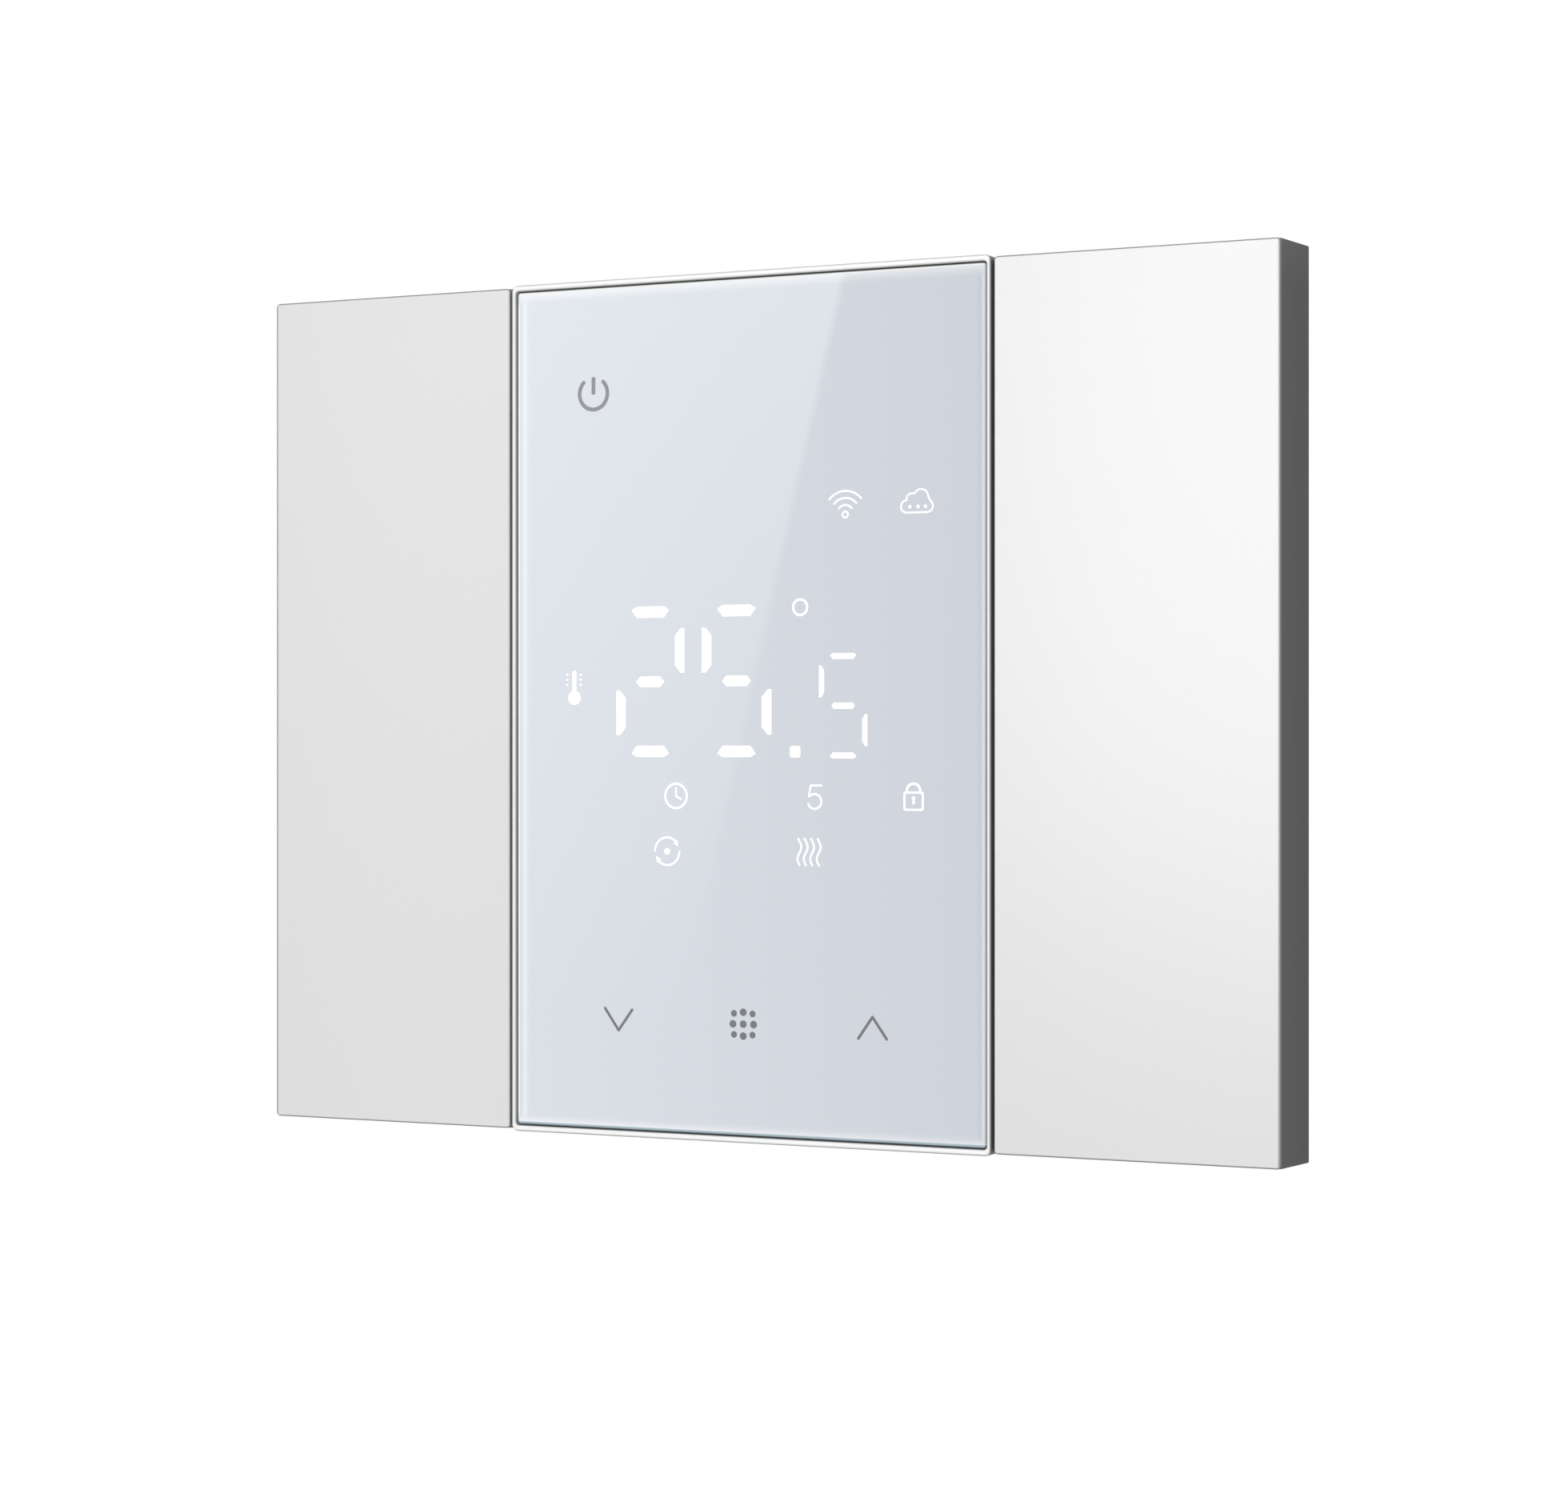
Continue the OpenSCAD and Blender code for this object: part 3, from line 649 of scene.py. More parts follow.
white_plastic = moulded("white_inner_plastic", (0.66, 0.665, 0.67), 0.42, grain=0.25)
housing_plastic = moulded("housing_plastic", (0.026, 0.027, 0.03), 0.42, grain=0.22, relief=0.022)
lid_plastic = moulded("lid_plastic", (0.036, 0.037, 0.04), 0.42, grain=0.22, relief=0.02)
green_plastic = moulded("terminal_plastic", (0.03, 0.19, 0.075), 0.36, grain=0.3, relief=0.006)
black_plastic = moulded("black_plastic", (0.016, 0.016, 0.017), 0.38, grain=0.2)
chip_epoxy = moulded("black_chip", (0.02, 0.02, 0.021), 0.5, grain=0.1)
blue_plastic = moulded("relay_plastic", (0.02, 0.075, 0.3), 0.3, grain=0.4)
blue_coat = moulded("blue_lacquer", (0.022, 0.09, 0.34), 0.18, grain=0.9, relief=0.02, Coat_Weight=0.4)
yellow_case = moulded("yellow_capacitor", (0.72, 0.47, 0.03), 0.3, grain=0.4, relief=0.006)
yellow_tape = moulded("winding_tape", (0.72, 0.5, 0.06), 0.2, grain=0.5, relief=0.006, Coat_Weight=0.5)
rubber = moulded("black_adhesive", (0.02, 0.02, 0.02), 0.8, grain=0.15, relief=0.008)
film = moulded("diffuser", (0.82, 0.82, 0.82), 0.6, grain=0.1, relief=0.003)
lens = moulded("led", (0.85, 0.78, 0.36), 0.15, grain=0.3, relief=0.002, Coat_Weight=0.6)
ferrite = moulded("ferrite", (0.045, 0.045, 0.048), 0.62, grain=0.12, relief=0.01, unevenness=0.12)
ceramic = moulded("fuse_case", (0.03, 0.02, 0.016), 0.3, grain=0.3)

plated_steel = metal("zinc_steel", (0.62, 0.64, 0.67), 0.3, (0.06, 1, 1), relief=0.004, stain=0.12)
screw_steel = metal("screw_steel", (0.66, 0.67, 0.69), 0.24)
tin = metal("radio_shield", (0.68, 0.69, 0.7), 0.28, (1, 1, 0.1))
bare_aluminium = metal("capacitor_can", (0.78, 0.79, 0.8), 0.3)
gold = metal("gold_spring", (0.83, 0.6, 0.24), 0.22)
brass = metal("brass", (0.72, 0.52, 0.2), 0.26, (1, 1, 0.15))
copper = metal("copper_coil", (0.68, 0.3, 0.12), 0.25)


def board_surface(name, bare, track, pad):
    """Printed board: mask over right-angled copper tracks, and rows of plated holes."""
    s = Surface(name)
    maze = s.add("TexVoronoi", {"distance": "CHEBYCHEV"}, Vector=s.place, Scale=1 / (5.5 * MM))
    rings = s.maths("FRACT", s.times(maze.outputs["Distance"], 5.0))
    tracks = s.times(s.ranged(rings, 0.44, 0.5), s.ranged(rings, 0.94, 0.88))
    holes = s.add("TexVoronoi", {"distance": "EUCLIDEAN"}, Vector=s.place, Scale=1 / (2.6 * MM))
    far = holes.outputs["Distance"]
    lands = s.times(s.ranged(far, 0.15, 0.14), s.ranged(far, 0.05, 0.06))
    colour = s.mix(lands, s.mix(tracks, bare, track), pad)
    step = s.bumped(tracks, 0.03, on=s.bumped(s.noise(0.4, 2), 0.003))
    return s.finish(Base_Color=colour, Metallic=s.times(lands, 0.9), Roughness=0.32, Normal=step)


def sleeve_surface():
    """Shrink sleeve: dark blue with a pale stripe down the side towards +x."""
    s = Surface("capacitor_sleeve", Roughness=0.22, Coat_Weight=0.3)
    high = span("electrolytic_capacitors")[1]
    stripe = s.ranged(s.split(s.place)["X"], (high.x - 0.95) * MM, (high.x - 0.9) * MM)
    blue = s.mix(s.noise(4, 2), (0.012, 0.03, 0.1), (0.016, 0.038, 0.12))
    colour = s.mix(stripe, blue, (0.6, 0.62, 0.66))
    return s.finish(Base_Color=colour, Normal=s.bumped(s.noise(0.6, 2), 0.006))


green_board = board_surface("green_board", (0.012, 0.12, 0.04), (0.02, 0.19, 0.07), (0.8, 0.66, 0.36))
tan_board = board_surface("tan_board", (0.4, 0.24, 0.08), (0.34, 0.22, 0.06), (0.72, 0.72, 0.7))
sleeve = sleeve_surface()


def frame_back_rim(corner):
    """Whether a corner of the frame lies on the outer edge of its back."""
    return corner.y > -0.01 and (abs(corner.x) > 61.4 or abs(corner.z) > 47.4)


# Every CAD node that is shown: the width of its rounded edges, its material and its rounder edges
FINISHES = {
    "base_frame": (0.15, frame_plastic, (0.5, frame_back_rim)),
    "left_cover": (0.15, cover_plastic),
    "right_cover": (0.15, cover_plastic),
    "front_bezel": (0.2, rim_plastic),
    "support_plate": (0.12, plated_steel),
    "glass_adhesive": (0, rubber),
    "diffuser_film": (0, film),
    "light_box": (0.08, white_plastic),
    "display_leds": (0.06, lens),
    "control_board": (0.05, green_board),
    "head_back_cover": (0.2, white_plastic),
    "rear_housing": (0.3, housing_plastic),
    "housing_lid": (0.15, lid_plastic),
    "power_board": (0.05, tan_board),
    "transformer_core": (0.12, ferrite),
    "transformer_winding": (0.3, yellow_tape),
    "suppression_capacitor": (0.5, yellow_case),
    "relay_case": (0.35, blue_plastic),
    "relay_armature": (0.08, plated_steel),
    "terminal_block": (0.25, green_plastic),
    "terminal_contacts": (0.08, brass),
}
for pole in range(1, 7):
    FINISHES[f"terminal_cage_{pole}"] = (0.14, brass)
for name, finish in FINISHES.items():
    soften(name, *finish)


# ---- face ----


def glass():
    """Pane with ground edges."""
    low, high = span("touch_glass")
    bm = bmesh.new()
    outline = rounded_box((0, 0), high.x - low.x, high.z - low.z, 0.35)
    add_slab(bm, [outline], edge_rings(-high.y, -low.y, 0.15, 0.28))
    piece("front_glass", bm, "touch_glass", glass_material, ["touch_glass"])


# How much narrower lit symbols are on each side, and how far off centre the whole print sits
LIT_TRIM = 0.035
PRINT_SHIFT = Matrix.Translation((-0.2, 0, 0))


def symbol(name, shapes, surface):
    """Print or lit symbol, a hair thick, on the face of the glass. A shape is a loop or a list of loops."""
    front = -span("touch_glass")[0].y
    trim = LIT_TRIM if surface is lit else 0
    bm = bmesh.new()
    for shape in shapes:
        loops = shape if isinstance(shape[0], list) else [shape]
        add_slab(bm, loops, [(front - 0.05, trim), (front + 0.015, trim)], FACING @ PRINT_SHIFT)
    piece(name, bm, "touch_glass", surface, smooth=False)


def ring(centre, radius, width, steps=40):
    return [circle(centre, radius + side * width / 2, steps) for side in (1, -1)]


def bar(centre, half, thick, point, lean=0.0):
    """Display segment lying along x, with pointed ends; lean moves the points up from its middle."""
    x, z = centre
    top, bottom, tip = z + thick / 2, z - thick / 2, z + lean
    corners = [(x - half, tip), (x - half + point, bottom), (x + half - point, bottom),
               (x + half, tip), (x + half - point, top), (x - half + point, top)]
    return rounded_loop(corners, 0.05)


def upright(outer, inner, low, high, cut):
    """Standing display segment: straight outer side, inner side with cut corners."""
    inward = math.copysign(1, inner - outer)
    back = inner - inward * cut[0]
    corners = [(outer, low), (back, low), (inner, low + cut[1]),
               (inner, high - cut[1]), (back, high), (outer, high)]
    return rounded_loop(corners, 0.07)


def digit(centre, size, parts):
    """Seven-segment digit. size gives its measures and parts the segments that are lit."""
    x, z = centre
    w, h = size["width"] / 2, size["height"] / 2
    thick, cut = size["thick"], size["cut"]
    shapes = {
        "a": bar((x, z + h - thick / 2), size["end_half"], thick, size["end_point"], thick / 6),
        "g": bar((x, z), *size["middle"]),
        "d": bar((x, z - h + thick / 2), size["end_half"], thick, size["end_point"], -thick / 6),
    }
    near, far = size["upright"]
    for name, side, up in (("f", -1, 1), ("b", 1, 1), ("e", -1, -1), ("c", 1, -1)):
        low, high = sorted((z + up * near, z + up * far))
        shapes[name] = upright(x + side * w, x + side * (w - size["side"]), low, high, cut)
    return [shapes[p] for p in parts]


BIG_DIGIT = {"width": 8.76, "height": 16.98, "thick": 1.37, "end_half": 2.46, "end_point": 0.73,
             "middle": (1.86, 1.27, 0.57), "side": 1.3, "upright": (0.92, 6.0), "cut": (0.76, 0.86)}
SMALL_DIGIT = {"width": 5.94, "height": 11.6, "thick": 0.75, "end_half": 1.66, "end_point": 0.4,
               "middle": (1.47, 0.77, 0.32), "side": 0.72, "upright": (0.88, 4.47), "cut": (0.36, 0.6)}


def symbols():
    symbol("lit_tens_digit", digit((-11.57, 2.88), BIG_DIGIT, "abged"), lit)
    symbol("lit_units_digit", digit((-0.72, 2.88), BIG_DIGIT, "afgcd"), lit)
    symbol("lit_tenths_digit", digit((12.35, 0.055), SMALL_DIGIT, "afgcd"), lit)
    symbol("lit_decimal_point", [rounded_box((6.52, -4.96), 1.38, 1.38, 0.35)], lit)
    symbol("lit_degree_ring", [ring((7.13, 10.9), 0.86, 0.36)], lit)

    # Thermometer: tube with a round top, bulb, and three ticks a side
    middle = -21.34
    tube = arc((middle, 3.98), 0.31, 0, 180, 8)
    bulb = arc((middle, 1.15), 0.85, 111, 429, 28)
    ticks = []
    for z in (3.77, 3.2, 2.62):
        ticks += [stroke([(middle - 0.99, z), (middle - 0.86, z)], 0.28)]
        ticks += [stroke([(middle + 0.7, z), (middle + 0.92, z)], 0.28)]
    symbol("lit_thermometer", [tube + bulb] + ticks, lit)

    # Signal: three arcs over a small ring
    at = (12.61, 20.94)
    waves = [stroke(arc(at, r, 139, 41, 18), 0.29) for r in (2.55, 1.78, 1.01)]
    symbol("lit_signal", waves + [ring((at[0], at[1] - 0.03), 0.33, 0.29, 24)], lit)

    # Cloud: outline from four round stretches, with three dots inside
    outline = (arc((22.4, 21.56), 0.67, -90, 62, 10) + arc((21.66, 22.54), 0.86, 5, 150, 12)
               + arc((20.56, 22.34), 0.62, 80, 190, 9) + arc((19.95, 21.56), 0.67, 120, 270, 10))
    cloud = oriented(outline, True)
    dots = [circle((x, 21.52), 0.24, 16) for x in (20.34, 21.31, 22.18)]
    line = [[tuple(p) for p in inset(cloud, away)] for away in (-0.14, 0.14)]
    symbol("lit_cloud", [line] + dots, lit)

    # Programme: a clock face with two hands stands for the running programme
    at = (-8.3, -9.9)
    hands = stroke([(at[0], at[1] + 0.9), at, (at[0] + 0.62, at[1] - 0.36)], 0.3)
    symbol("lit_programme", [ring(at, 1.36, 0.34), hands], lit)

    # Numeral: a plain round-bellied 5
    bowl = arc((8.89, -10.41), 0.82, 132, -160, 22)
    five = stroke([(9.72, -8.66), (8.42, -8.66), (8.2, -9.86)] + bowl[1:], 0.31)
    symbol("lit_numeral", [five], lit)

    # Lock: body, shackle, and a keyhole of two round parts
    x = 20.78
    body = [rounded_box((x, -10.31), 2.5, 2.18, 0.3), rounded_box((x, -10.31), 1.84, 1.54, 0.15)]
    shackle = stroke([(x - 0.8, -9.32)] + arc((x, -9.2), 0.8, 180, 0, 12) + [(x + 0.8, -9.32)], 0.36)
    hole = arc((x, -10.0), 0.27, -50, 230, 16) + arc((x, -10.47), 0.22, 130, 410, 14)
    symbol("lit_lock", [body, shackle, hole], lit)

    # Automatic: two arrows chasing each other round a dot
    at = (-9.42, -16.08)
    arrows = [circle(at, 0.42, 24)]
    for turn in (0, 180):
        arrows.append(stroke(arc(at, 1.55, turn + 178, turn + 46, 18), 0.31))
        tip = arc(at, 1.57, turn + 16, turn + 16, 1)[0]
        wings = [arc(at, r, turn + angle, turn + angle, 1)[0] for r, angle in ((1.12, 54), (1.86, 46))]
        arrows.append(rounded_loop([tip, wings[0], wings[1]], 0.05))
    symbol("lit_automatic", arrows, lit)

    # Heat: four rising waves
    waves = []
    for x in (7.04, 7.81, 8.6, 9.4):
        rows = [-17.42 + 2.92 * k / 18 for k in range(19)]
        waves.append(stroke([(x + 0.24 * math.sin(TURN * (z + 16.07) / 2.63), z) for z in rows], 0.31))
    symbol("lit_heat", waves, lit)


def keys():
    """Power key, chevrons down and up, and the key of nine dots."""
    at = (-18.87, 35.5)
    bow = stroke(arc(at, 1.8, 135, 406, 36), 0.45)
    stem = rounded_box((at[0], at[1] + 0.88), 0.48, 1.97, 0.15)
    symbol("printed_power_key", [bow, stem], printed_power)
    down = stroke([(-17.36, -33.87), (-15.62, -36.3), (-13.88, -33.95)], 0.31)
    symbol("printed_down_key", [down], printed)
    up = stroke([(14.18, -36.18), (15.88, -33.8), (17.58, -36.15)], 0.31)
    symbol("printed_up_key", [up], printed)
    dots = []
    for i in (-1, 0, 1):
        for k in (-1, 0, 1):
            place = (0.12 + i * (1.15 if k else 1.28), -35.1 + k * (1.17 if i else 1.32))
            dots.append(circle(place, 0.37 if i and k else 0.42, 20))
    symbol("printed_menu_key", dots, printed)


glass()
symbols()
keys()


# ---- screws ----


def screws(name, node, places, **size):
    bm = bmesh.new()
    for place in places:
        add_screw(bm, place, **size)
    piece(name, bm, node, screw_steel, [node])


def corners(x, z):
    """Four places mirrored about the middle."""
    return [(i * x, k * z) for i in (-1, 1) for k in (-1, 1)]


CROSS = ((1.45, 0.3), (1.45, 0.3))
SMALL_CROSS = ((1.05, 0.22), (1.05, 0.22))
COMBINED = ((1.72, 0.33), (1.25, 0.28))

screws("frame_pan_screws", "frame_screws", corners(50, 33),
       seat=2.6, tip=0.1, shank=1.25, head=2.3, height=1.4, recess=CROSS)
screws("housing_pan_screws", "housing_screws", corners(35, 19),
       seat=2.0, tip=0.1, shank=1.25, head=2.3, height=1.4, recess=CROSS)
screws("lid_pan_screws", "lid_screws", corners(28.4, 19.4),
       seat=1.3, tip=-3.2, shank=0.85, head=1.7, height=0.7, recess=SMALL_CROSS)
screws("head_pan_screws", "head_screws", corners(25.4, 41.8),
       seat=-3.8, tip=-7.1, shank=0.75, head=1.95, height=0.8, recess=SMALL_CROSS, place=INWARD)
for pole in range(6):
    name = f"terminal_screw_{pole + 1}"
    screws(f"clamp_screw_{pole + 1}", name, [((pole - 2.5) * 9, -16.8)],
           seat=24.8, tip=18.75, shank=1.5, head=2.4, height=1.6, recess=COMBINED, place=INWARD)


# ---- electronics of the head ----

BOARD_FRONT = -span("control_board")[0].y
SPRING_WIRE = 0.22
SPRING_RADIUS = 2.8
SPRING_TURNS = 4.5
SPRING_FLAT_TURNS = 0.8
PIN_PITCH = 2.54
PIN_COLUMNS = 8
HEADER_UP = 12
PIN_PLACES = [((i - 3.5) * PIN_PITCH, HEADER_UP + row * PIN_PITCH / 2)
              for i in range(PIN_COLUMNS) for row in (-1, 1)]


def spring_coils():
    """One coil spring for each key, with flat end turns."""
    rise = -span("touch_springs")[0].y - BOARD_FRONT - 2 * SPRING_WIRE
    bm = bmesh.new()
    steps = 96
    for centre in ((-19.15, 35.6), (-15.8, -35.1), (0, -35.1), (15.7, -35.1)):
        around = arc(centre, SPRING_RADIUS, 0, 360 * SPRING_TURNS, steps)
        path = []
        for i, (x, z) in enumerate(around):
            part = (SPRING_TURNS * i / steps - SPRING_FLAT_TURNS) / (SPRING_TURNS - 2 * SPRING_FLAT_TURNS)
            path.append((x, z, BOARD_FRONT + SPRING_WIRE + rise * min(max(part, 0), 1)))
        add_tube(bm, path, SPRING_WIRE)
    piece("spring_coils", bm, "touch_springs", gold, ["touch_springs"])


def chip(node, at, board, size, height, leads, place=FACING):
    """Moulded body and gull-wing leads in place of a CAD chip."""
    bm = bmesh.new()
    blocks = add_chip(bm, at, board, size, height, leads, place)
    piece(node + "_body", bm, node, chip_epoxy, [node])
    bm = bmesh.new()
    for low, high in blocks:
        add_block(bm, low, high, 0.02, 1, place)
    piece(node + "_leads", bm, node, tin)


def radio_module():
    """Small board with a shield can and a folded antenna."""
    board = BOARD_FRONT
    bm = bmesh.new()
    add_slab(bm, [rounded_box((15, 35.5), 16, 12, 0.3)], [(board, 0), (board + 0.8, 0)])
    piece("radio_board", bm, "radio_module", green_board, ["radio_module"])
    bm = bmesh.new()
    can = rounded_box((17.5, 35.5), 10.4, 11, 0.5)
    add_slab(bm, [can], edge_rings(board + 0.7, board + 2.4, 0, 0.25))
    piece("radio_shield_can", bm, "radio_module", tin)
    bm = bmesh.new()
    for i in range(5):
        z = 31.2 + i * 2.0
        add_block(bm, (7.6, z, board + 0.75), (11.3, z + 0.45, board + 0.84))
        left = 7.6 if i % 2 else 10.85
        add_block(bm, (left, z, board + 0.75), (left + 0.45, z + 2.4, board + 0.84))
    piece("radio_antenna", bm, "radio_module", gold)


def buzzer():
    """Round can with a sound hole."""
    outline = ((0, 0), (4.4, 0), (4.5, 0.15), (4.5, 1.7), (4.3, 1.85), (4.25, 2.1), (4.05, 2.3), (1.0, 2.3),
               (0.8, 2.2), (0.8, 1.2), (0, 1.2))
    bm = bmesh.new()
    add_lathe(bm, (-18, -25), [(radius, BOARD_FRONT + depth) for radius, depth in outline], 48)
    piece("buzzer_can", bm, "buzzer", black_plastic, ["buzzer"])


def room_sensor():
    """Bead on two bent leads."""
    x, z = 22, -36
    bead = [(0, BOARD_FRONT)]
    for i in range(1, 16):
        angle = TURN / 32 * i
        bead.append((1.3 * math.sin(angle), BOARD_FRONT + 0.8 - 0.8 * math.cos(angle)))
    bm = bmesh.new()
    add_lathe(bm, (x, z), bead + [(0, BOARD_FRONT + 1.6)])
    piece("sensor_bead", bm, "room_sensor", black_plastic, ["room_sensor"])
    bm = bmesh.new()
    bends = ((0.4, 0.8, 0.7), (0.6, 1.6, 0.4), (0.7, 2.6, 0.2), (0.7, 3.6, 0.18))
    for side in (-1, 1):
        add_tube(bm, [(x + side * out, z + up, BOARD_FRONT + depth) for out, up, depth in bends], 0.17)
    piece("sensor_leads", bm, "room_sensor", tin)


def head_header():
    """Pin header: notched black base with square pins."""
    half = PIN_PITCH / 2
    notch = 0.3
    outline = []
    for side in (-1, 1):
        for i in range(PIN_COLUMNS):
            x = side * (3.5 - i) * PIN_PITCH
            outer = HEADER_UP + side * PIN_PITCH
            outline += [(x + side * half, outer - side * notch), (x + side * (half - notch), outer),
                        (x - side * (half - notch), outer)]
        outline.append((-side * PIN_COLUMNS * half, outer - side * notch))
    bm = bmesh.new()
    add_slab(bm, [oriented(outline, True)], edge_rings(3.1, 4.4, 0.1))
    piece("header_base", bm, "head_header", black_plastic, ["head_header"])
    bm = bmesh.new()
    for at in PIN_PLACES:
        add_slab(bm, [rounded_box(at, 0.64, 0.64, 0.04, 1)], [(-1.6, 0.2), (-1.2, 0), (3.4, 0)])
    piece("header_pins", bm, "head_header", gold)


spring_coils()
chip("microcontroller", (-3, 34), BOARD_FRONT, (7, 7), 1.4, 8)
chip("touch_controller", (8, -26), BOARD_FRONT, (5, 4), 1.4, 5)
radio_module()
buzzer()
room_sensor()
head_header()


# ---- power unit ----

BOARD_BACK = span("power_board")[1].y


def header_socket():
    """Socket with a square hole and two spring contacts for each pin."""
    body = rounded_box((0, HEADER_UP), PIN_COLUMNS * PIN_PITCH, 2 * PIN_PITCH, 0.15, 2)
    holes = [rounded_box(at, 0.94, 0.94, 0.05, 1) for at in PIN_PLACES]
    bm = bmesh.new()
    add_slab(bm, [body] + holes, [(-3, 0), (1.8, 0), (2.0, 0.16)])
    piece("socket_body", bm, "header_socket", black_plastic, ["header_socket"])
    bm = bmesh.new()
    for x, z in PIN_PLACES:
        for side in (-1, 1):
            middle = x + side * 0.38
            add_block(bm, (middle - 0.05, z - 0.3, -2.8), (middle + 0.05, z + 0.3, 1.3), 0.02, 1)
    piece("socket_contacts", bm, "header_socket", gold)


def electrolytic_capacitors():
    """Sleeves with a crimp near the board, and cans with a vent slot in the end."""
    top = span("electrolytic_capacitors")[1].y
    low_part = ((0, 0), (3.7, 0), (3.95, 0.15), (4, 0.4), (4, 1.1), (3.78, 1.45), (3.78, 1.7), (4, 2.1))
    high_part = ((4, 0.6), (3.9, 0.2), (3.65, 0), (3.4, 0), (3.3, 0.1), (0, 0.1))
    sleeve_outline = [(radius, BOARD_BACK + up) for radius, up in low_part]
    sleeve_outline += [(radius, top - down) for radius, down in high_part]
    end_outline = [(0, top - 0.4), (3.2, top - 0.4), (3.2, top - 0.08), (3.1, top - 0.04)]
    bm, ends = bmesh.new(), bmesh.new()
    for z in (4, 14):
        at = (19.5, z)
        add_lathe(bm, at, sleeve_outline, 48, INWARD)
        rim = add_lathe(ends, at, end_outline, 48, INWARD)
        add_recess(ends, rim, plus(at, (2.4, 0.09), (2.4, 0.09)), top - 0.04, top - 0.14, 0.03, INWARD)
    node = "electrolytic_capacitors"
    piece("capacitor_sleeves", bm, node, sleeve, [node])
    piece("capacitor_vents", ends, node, bare_aluminium)


def varistor():
    """Lacquered disc standing on two leads."""
    bm = bmesh.new()
    edge = arc((2.8, 0), 1.2, 0, 90, 5)
    profile = [(0, -6.7)] + [(radius, -5.5 - reach) for radius, reach in reversed(edge)]
    profile += [(radius, -4.5 + reach) for radius, reach in edge] + [(0, -3.3)]
    add_lathe(bm, (1, -10), profile, 48, ACROSS)
    piece("varistor_disc", bm, "varistor", blue_coat, ["varistor"])
    bm = bmesh.new()
    for z in (-1.2, 3.2):
        add_tube(bm, [(-5, z, 4.6), (-5, z, 6.2), (-5, 1 + (z - 1) * 0.9, 7.4)], 0.3, place=INWARD)
    piece("varistor_leads", bm, "varistor", tin)


def fuse():
    """Upright round case with a rounded end."""
    bm = bmesh.new()
    profile = [(0, BOARD_BACK), (3.9, BOARD_BACK), (4, BOARD_BACK + 0.1), (4, BOARD_BACK + 6.9)]
    profile += [(radius, BOARD_BACK + up) for radius, up in arc((3.4, 6.9), 0.6, 0, 90, 5)[1:]]
    add_lathe(bm, (4, -3.5), profile + [(0, BOARD_BACK + 7.5)], 48, INWARD)
    piece("fuse_case", bm, "fuse", ceramic, ["fuse"])


def relay_works():
    """Relay base, wound coil between flanges, pole and yoke."""
    at = (-17.5, 13.5)
    board = BOARD_BACK
    flange = 0.6
    bm = bmesh.new()
    add_block(bm, (-24.2, 9.2, board), (-6.8, 17.8, board + 0.8), 0.15, 2, INWARD)
    for up in (0.8, 9.8):
        ends = (board + up, board + up + flange)
        add_lathe(bm, at, [(0, ends[0]), (3.8, ends[0]), (3.8, ends[1]), (0, ends[1])], 40, INWARD)
    piece("relay_base", bm, "relay_coil", black_plastic, ["relay_coil"])

    bm = bmesh.new()
    steps = 28 * 4
    profile = [(0, board + 1.3)]
    for i in range(steps + 1):
        profile.append((3.45 + 0.13 * abs(math.sin(TURN / 8 * i)), board + 1.3 + 8.6 * i / steps))
    add_lathe(bm, at, profile + [(0, board + 9.9)], 40, INWARD)
    piece("relay_winding", bm, "relay_coil", copper)

    bm = bmesh.new()
    pole = [(0, board + 9), (1.6, board + 9), (1.6, board + 10.9), (1.5, board + 11), (0, board + 11)]
    add_lathe(bm, at, pole, 32, INWARD)
    add_block(bm, (-23.35, 10, board + 0.4), (-22.45, 17, board + 11.4), 0.1, 2, INWARD)
    piece("relay_iron", bm, "relay_coil", plated_steel)


header_socket()
electrolytic_capacitors()
varistor()
fuse()
chip("converter_chip", (13.5, -6), BOARD_BACK, (5, 4), 1.5, 4, INWARD)
relay_works()


# ---- backs of the covers ----

COVER_MIDDLE = 46.05


def cover_backs():
    """Ejector marks on the back of each cover's skin, and a snap edge on each tongue."""
    mark = [(0, 7.85), (1.9, 7.85), (1.9, 7.66), (1.8, 7.64), (1.7, 7.66), (1.65, 7.72), (0, 7.72)]
    for side, node in ((-1, "left_cover"), (1, "right_cover")):
        bm = bmesh.new()
        middle = side * COVER_MIDDLE
        for z in (-37, -22.5, 0, 22.5, 37):
            for x in (-5, 5):
                add_lathe(bm, (middle + x, z), mark)
        for x in (-9.5, 9.5):
            for up in (-1, 1):
                edge = sorted((up * 42.55, up * 42.85))
                add_block(bm, (middle + x - 1.6, edge[0], 1.0), (middle + x + 1.6, edge[1], 1.7), 0.1, 2)
        piece(node + "_back_marks", bm, node, cover_plastic)


cover_backs()


# ---- camera, lights and floor (in metres) ----

LENS = 81.8
CAMERA_AT = (0.1787, -0.3606, -0.0051)
CAMERA_TURN = 26.31
FACE_PIECES = ("left_cover", "right_cover", "front_bezel", "base_frame", "front_glass")
BEHIND_CAMERA = -1.0
SKY = 0.92

# The leaning edge of the bright pane that the glass mirrors: its x at z = 0, and its slope
PANE_EDGE = -0.505
PANE_LEAN = 0.246

# The softbox brightens between two parts of its height, which lean from its left to its right side
SOFTBOX_LEAN = 0.15
SOFTBOX_FADE = (0.2, 0.41)


def camera():
    data = bpy.data.cameras.new("camera")
    data.lens = LENS
    data.clip_start = 0.01
    made = placed("camera", data)
    made.location = CAMERA_AT
    made.rotation_euler = (math.radians(90), 0, math.radians(CAMERA_TURN))
    bpy.context.scene.camera = made


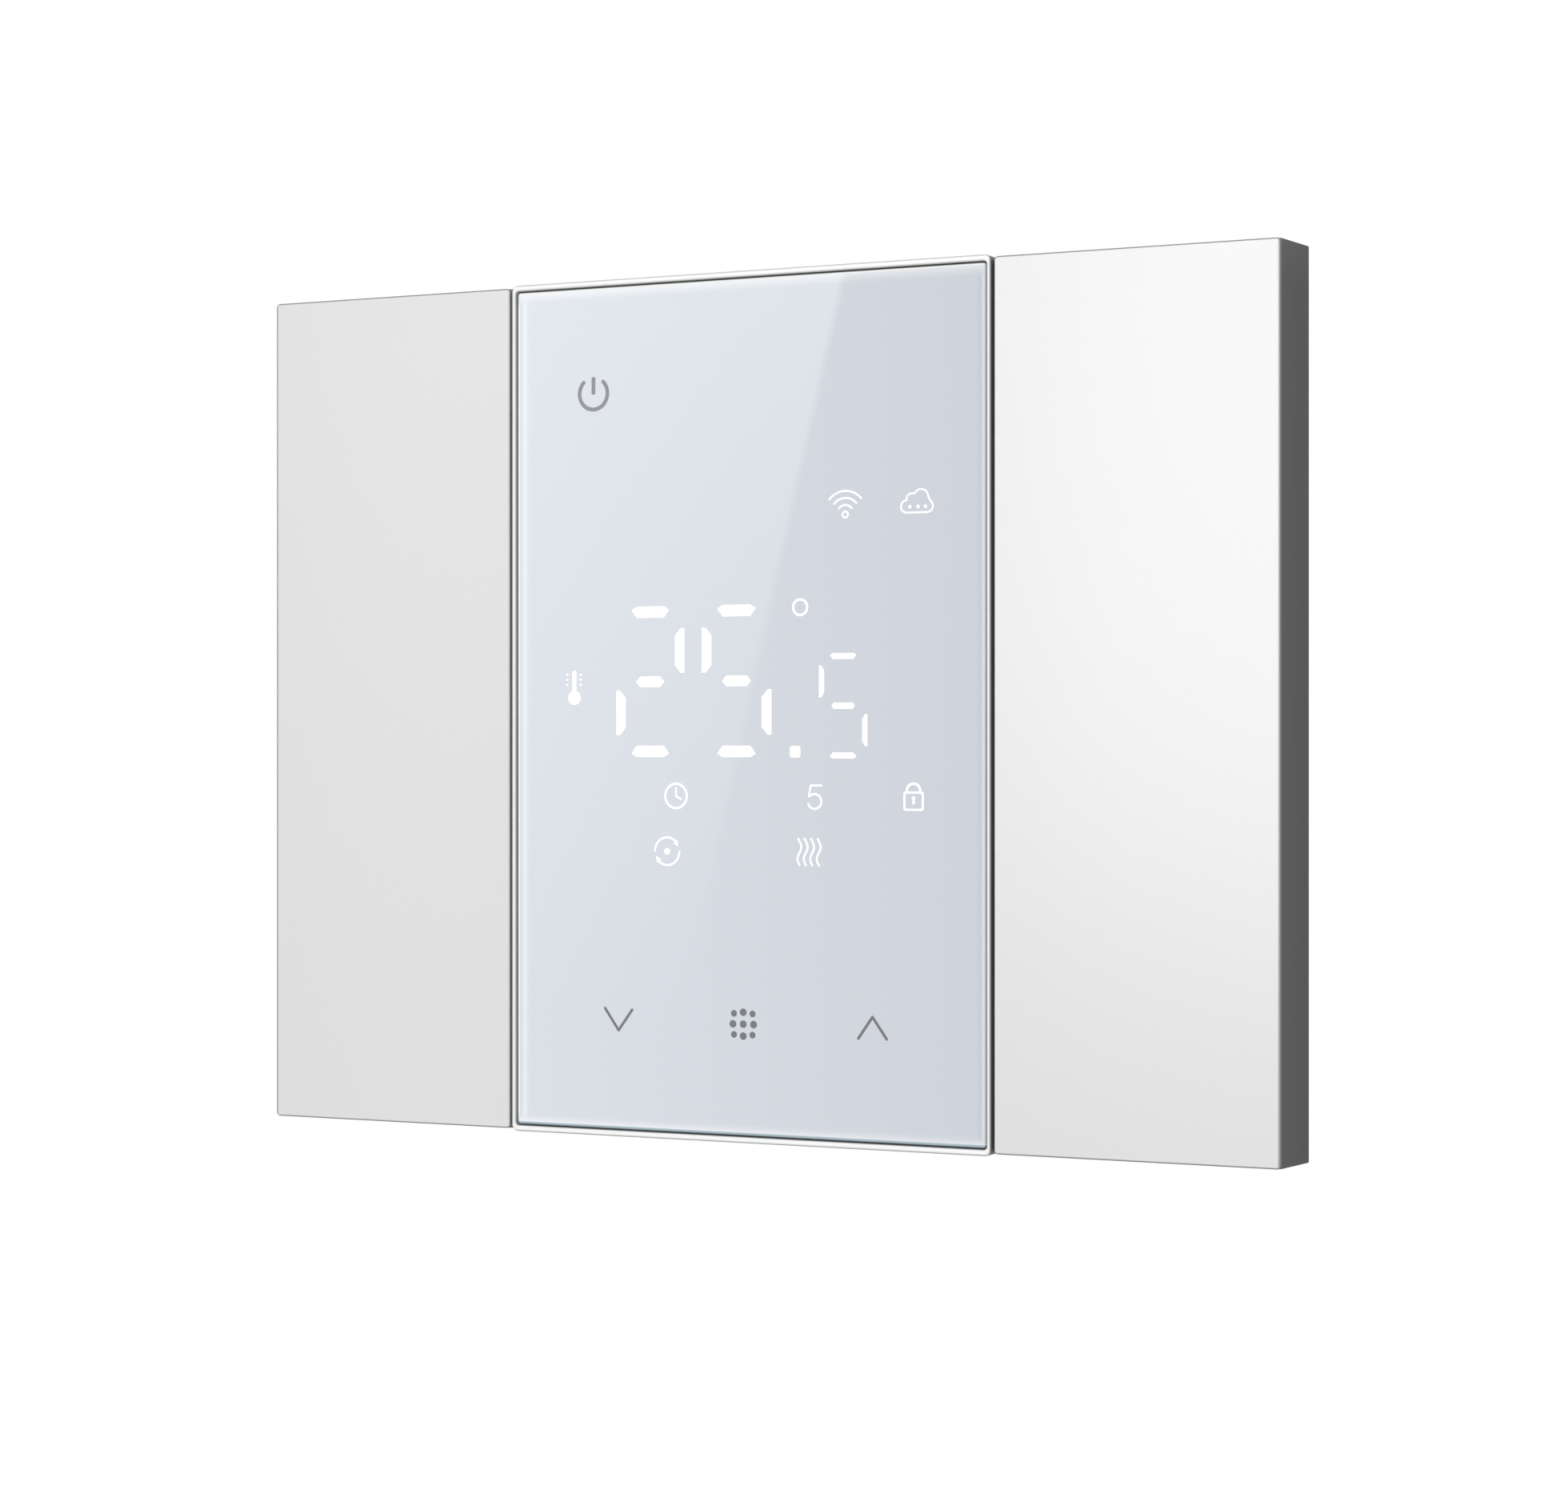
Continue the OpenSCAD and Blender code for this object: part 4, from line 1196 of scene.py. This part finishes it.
def glowing_sheet(name, corners, strength):
    """A sheet that only gives off light; strength makes its brightness from a surface."""
    mesh = bpy.data.meshes.new(name)
    mesh.from_pydata(corners, [], [(0, 1, 2, 3)])
    s = Surface(name, Base_Color=(0, 0, 0), Specular_IOR_Level=0.0, Emission_Color=(1, 1, 1))
    mesh.materials.append(s.finish(Emission_Strength=strength(s)))
    made = placed(name, mesh)
    made.visible_diffuse = False
    made.visible_shadow = False
    return made


def window_glow(s):
    """Soft light from the left with a leaning edge, which the glass shows as a diagonal."""
    x, _, z = s.split(s.place)
    wide = s.maths("MINIMUM", s.ranged(x, -0.39, -0.64, 0, 2.55), s.ranged(x, -0.95, -0.66, 0, 2.5))
    edge = s.maths("ADD", x, s.times(z, -PANE_LEAN))
    inside = s.ranged(edge, PANE_EDGE + 0.002, PANE_EDGE - 0.002)
    left = s.ranged(x, -0.64, -0.46, 0.5, 0.8)
    pane = s.times(inside, left, s.ranged(z, -0.12, 0.21), s.ranged(x, -0.95, -0.66, 0, 3.0))
    return s.maths("ADD", s.maths("ADD", wide, pane), SKY)


def lit_only(lamp, objects):
    """Makes a lamp light only these objects."""
    chosen = bpy.data.collections.new(lamp.name + "_receivers")
    for obj in objects:
        chosen.objects.link(obj)
    lamp.light_linking.receiver_collection = chosen


def softbox(low, high, radiance, receivers):
    """Area light behind the camera that only some CAD nodes reflect, fading away below a leaning line."""
    data = bpy.data.lights.new("softbox", "AREA")
    data.shape = "RECTANGLE"
    data.size, data.size_y = high[0] - low[0], high[1] - low[1]
    data.energy = 4 * data.size * data.size_y
    graph = Graph(data)
    across, up, _ = graph.split(graph.add("TexCoord").outputs["UV"])
    slant = graph.maths("MULTIPLY_ADD", across, SOFTBOX_LEAN, up)
    graph.put(graph.tree.nodes["Emission"], Strength=graph.ranged(slant, *SOFTBOX_FADE, *radiance, True))
    made = placed("softbox", data)
    made.location = ((low[0] + high[0]) / 2, BEHIND_CAMERA, (low[1] + high[1]) / 2)
    made.rotation_euler = (math.radians(90), 0, 0)
    made.visible_camera = False
    made.visible_diffuse = False
    lit_only(made, [NODES[name] for name in receivers])


def rear_lamp(name, place, size, energy, mirrored=False):
    """Square light behind the wall plane, aimed at the middle of the part."""
    data = bpy.data.lights.new(name, "AREA")
    data.size = size
    data.energy = energy
    made = placed(name, data)
    made.location = place
    made.rotation_euler = (-Vector(place)).to_track_quat("-Z", "Y").to_euler()
    made.visible_camera = False
    made.visible_glossy = mirrored
    return made


def world():
    """White to the camera; to the part, dimmer from below and from behind the wall."""
    made = bpy.data.worlds.new("studio")
    bpy.context.scene.world = made
    graph = Graph(made)
    _, y, z = graph.split(graph.add("TexCoord").outputs["Generated"])
    sky = graph.times(graph.ranged(z, -1, 1, 0.68, 1.28), graph.ranged(y, -0.45, 0.1, 1, 0.22))
    seen = graph.add("LightPath").outputs["Is Camera Ray"]
    graph.put(graph.tree.nodes["Background"], Color=(1, 1, 1), Strength=graph.ranged(seen, 0, 1, sky, 1.0))


def studio():
    left, right, low, high = -0.95, -0.39, -0.3, 0.4
    outline = ((left, low), (right, low), (right, high), (left, high))
    card = [(x, BEHIND_CAMERA, z) for x, z in outline]
    glowing_sheet("window_card", card, window_glow).visible_camera = False
    softbox((-0.62, -0.25), (0.0, 0.55), (1.3, 5.15), ("right_cover", "front_bezel", "base_frame"))

    rear_lamp("rear_key", (-0.35, 0.55, 0.5), 0.45, 5)
    rear_lamp("rear_fill", (-0.1, 0.7, -0.35), 0.6, 2)
    inner = [obj for obj in bpy.data.objects if "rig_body" in obj and obj.name not in FACE_PIECES]
    lit_only(rear_lamp("rear_mirror", (0.15, 0.8, 0.05), 1.1, 3.2, mirrored=True), inner)

    reach, level = 6, -0.25
    floor = [(x * reach, y * reach, level) for x, y in ((-1, -1), (1, -1), (1, 1), (-1, 1))]
    glowing_sheet("floor", floor, lambda s: 1.0).visible_glossy = False
    bpy.context.scene.view_settings.view_transform = "Standard"


camera()
world()
studio()
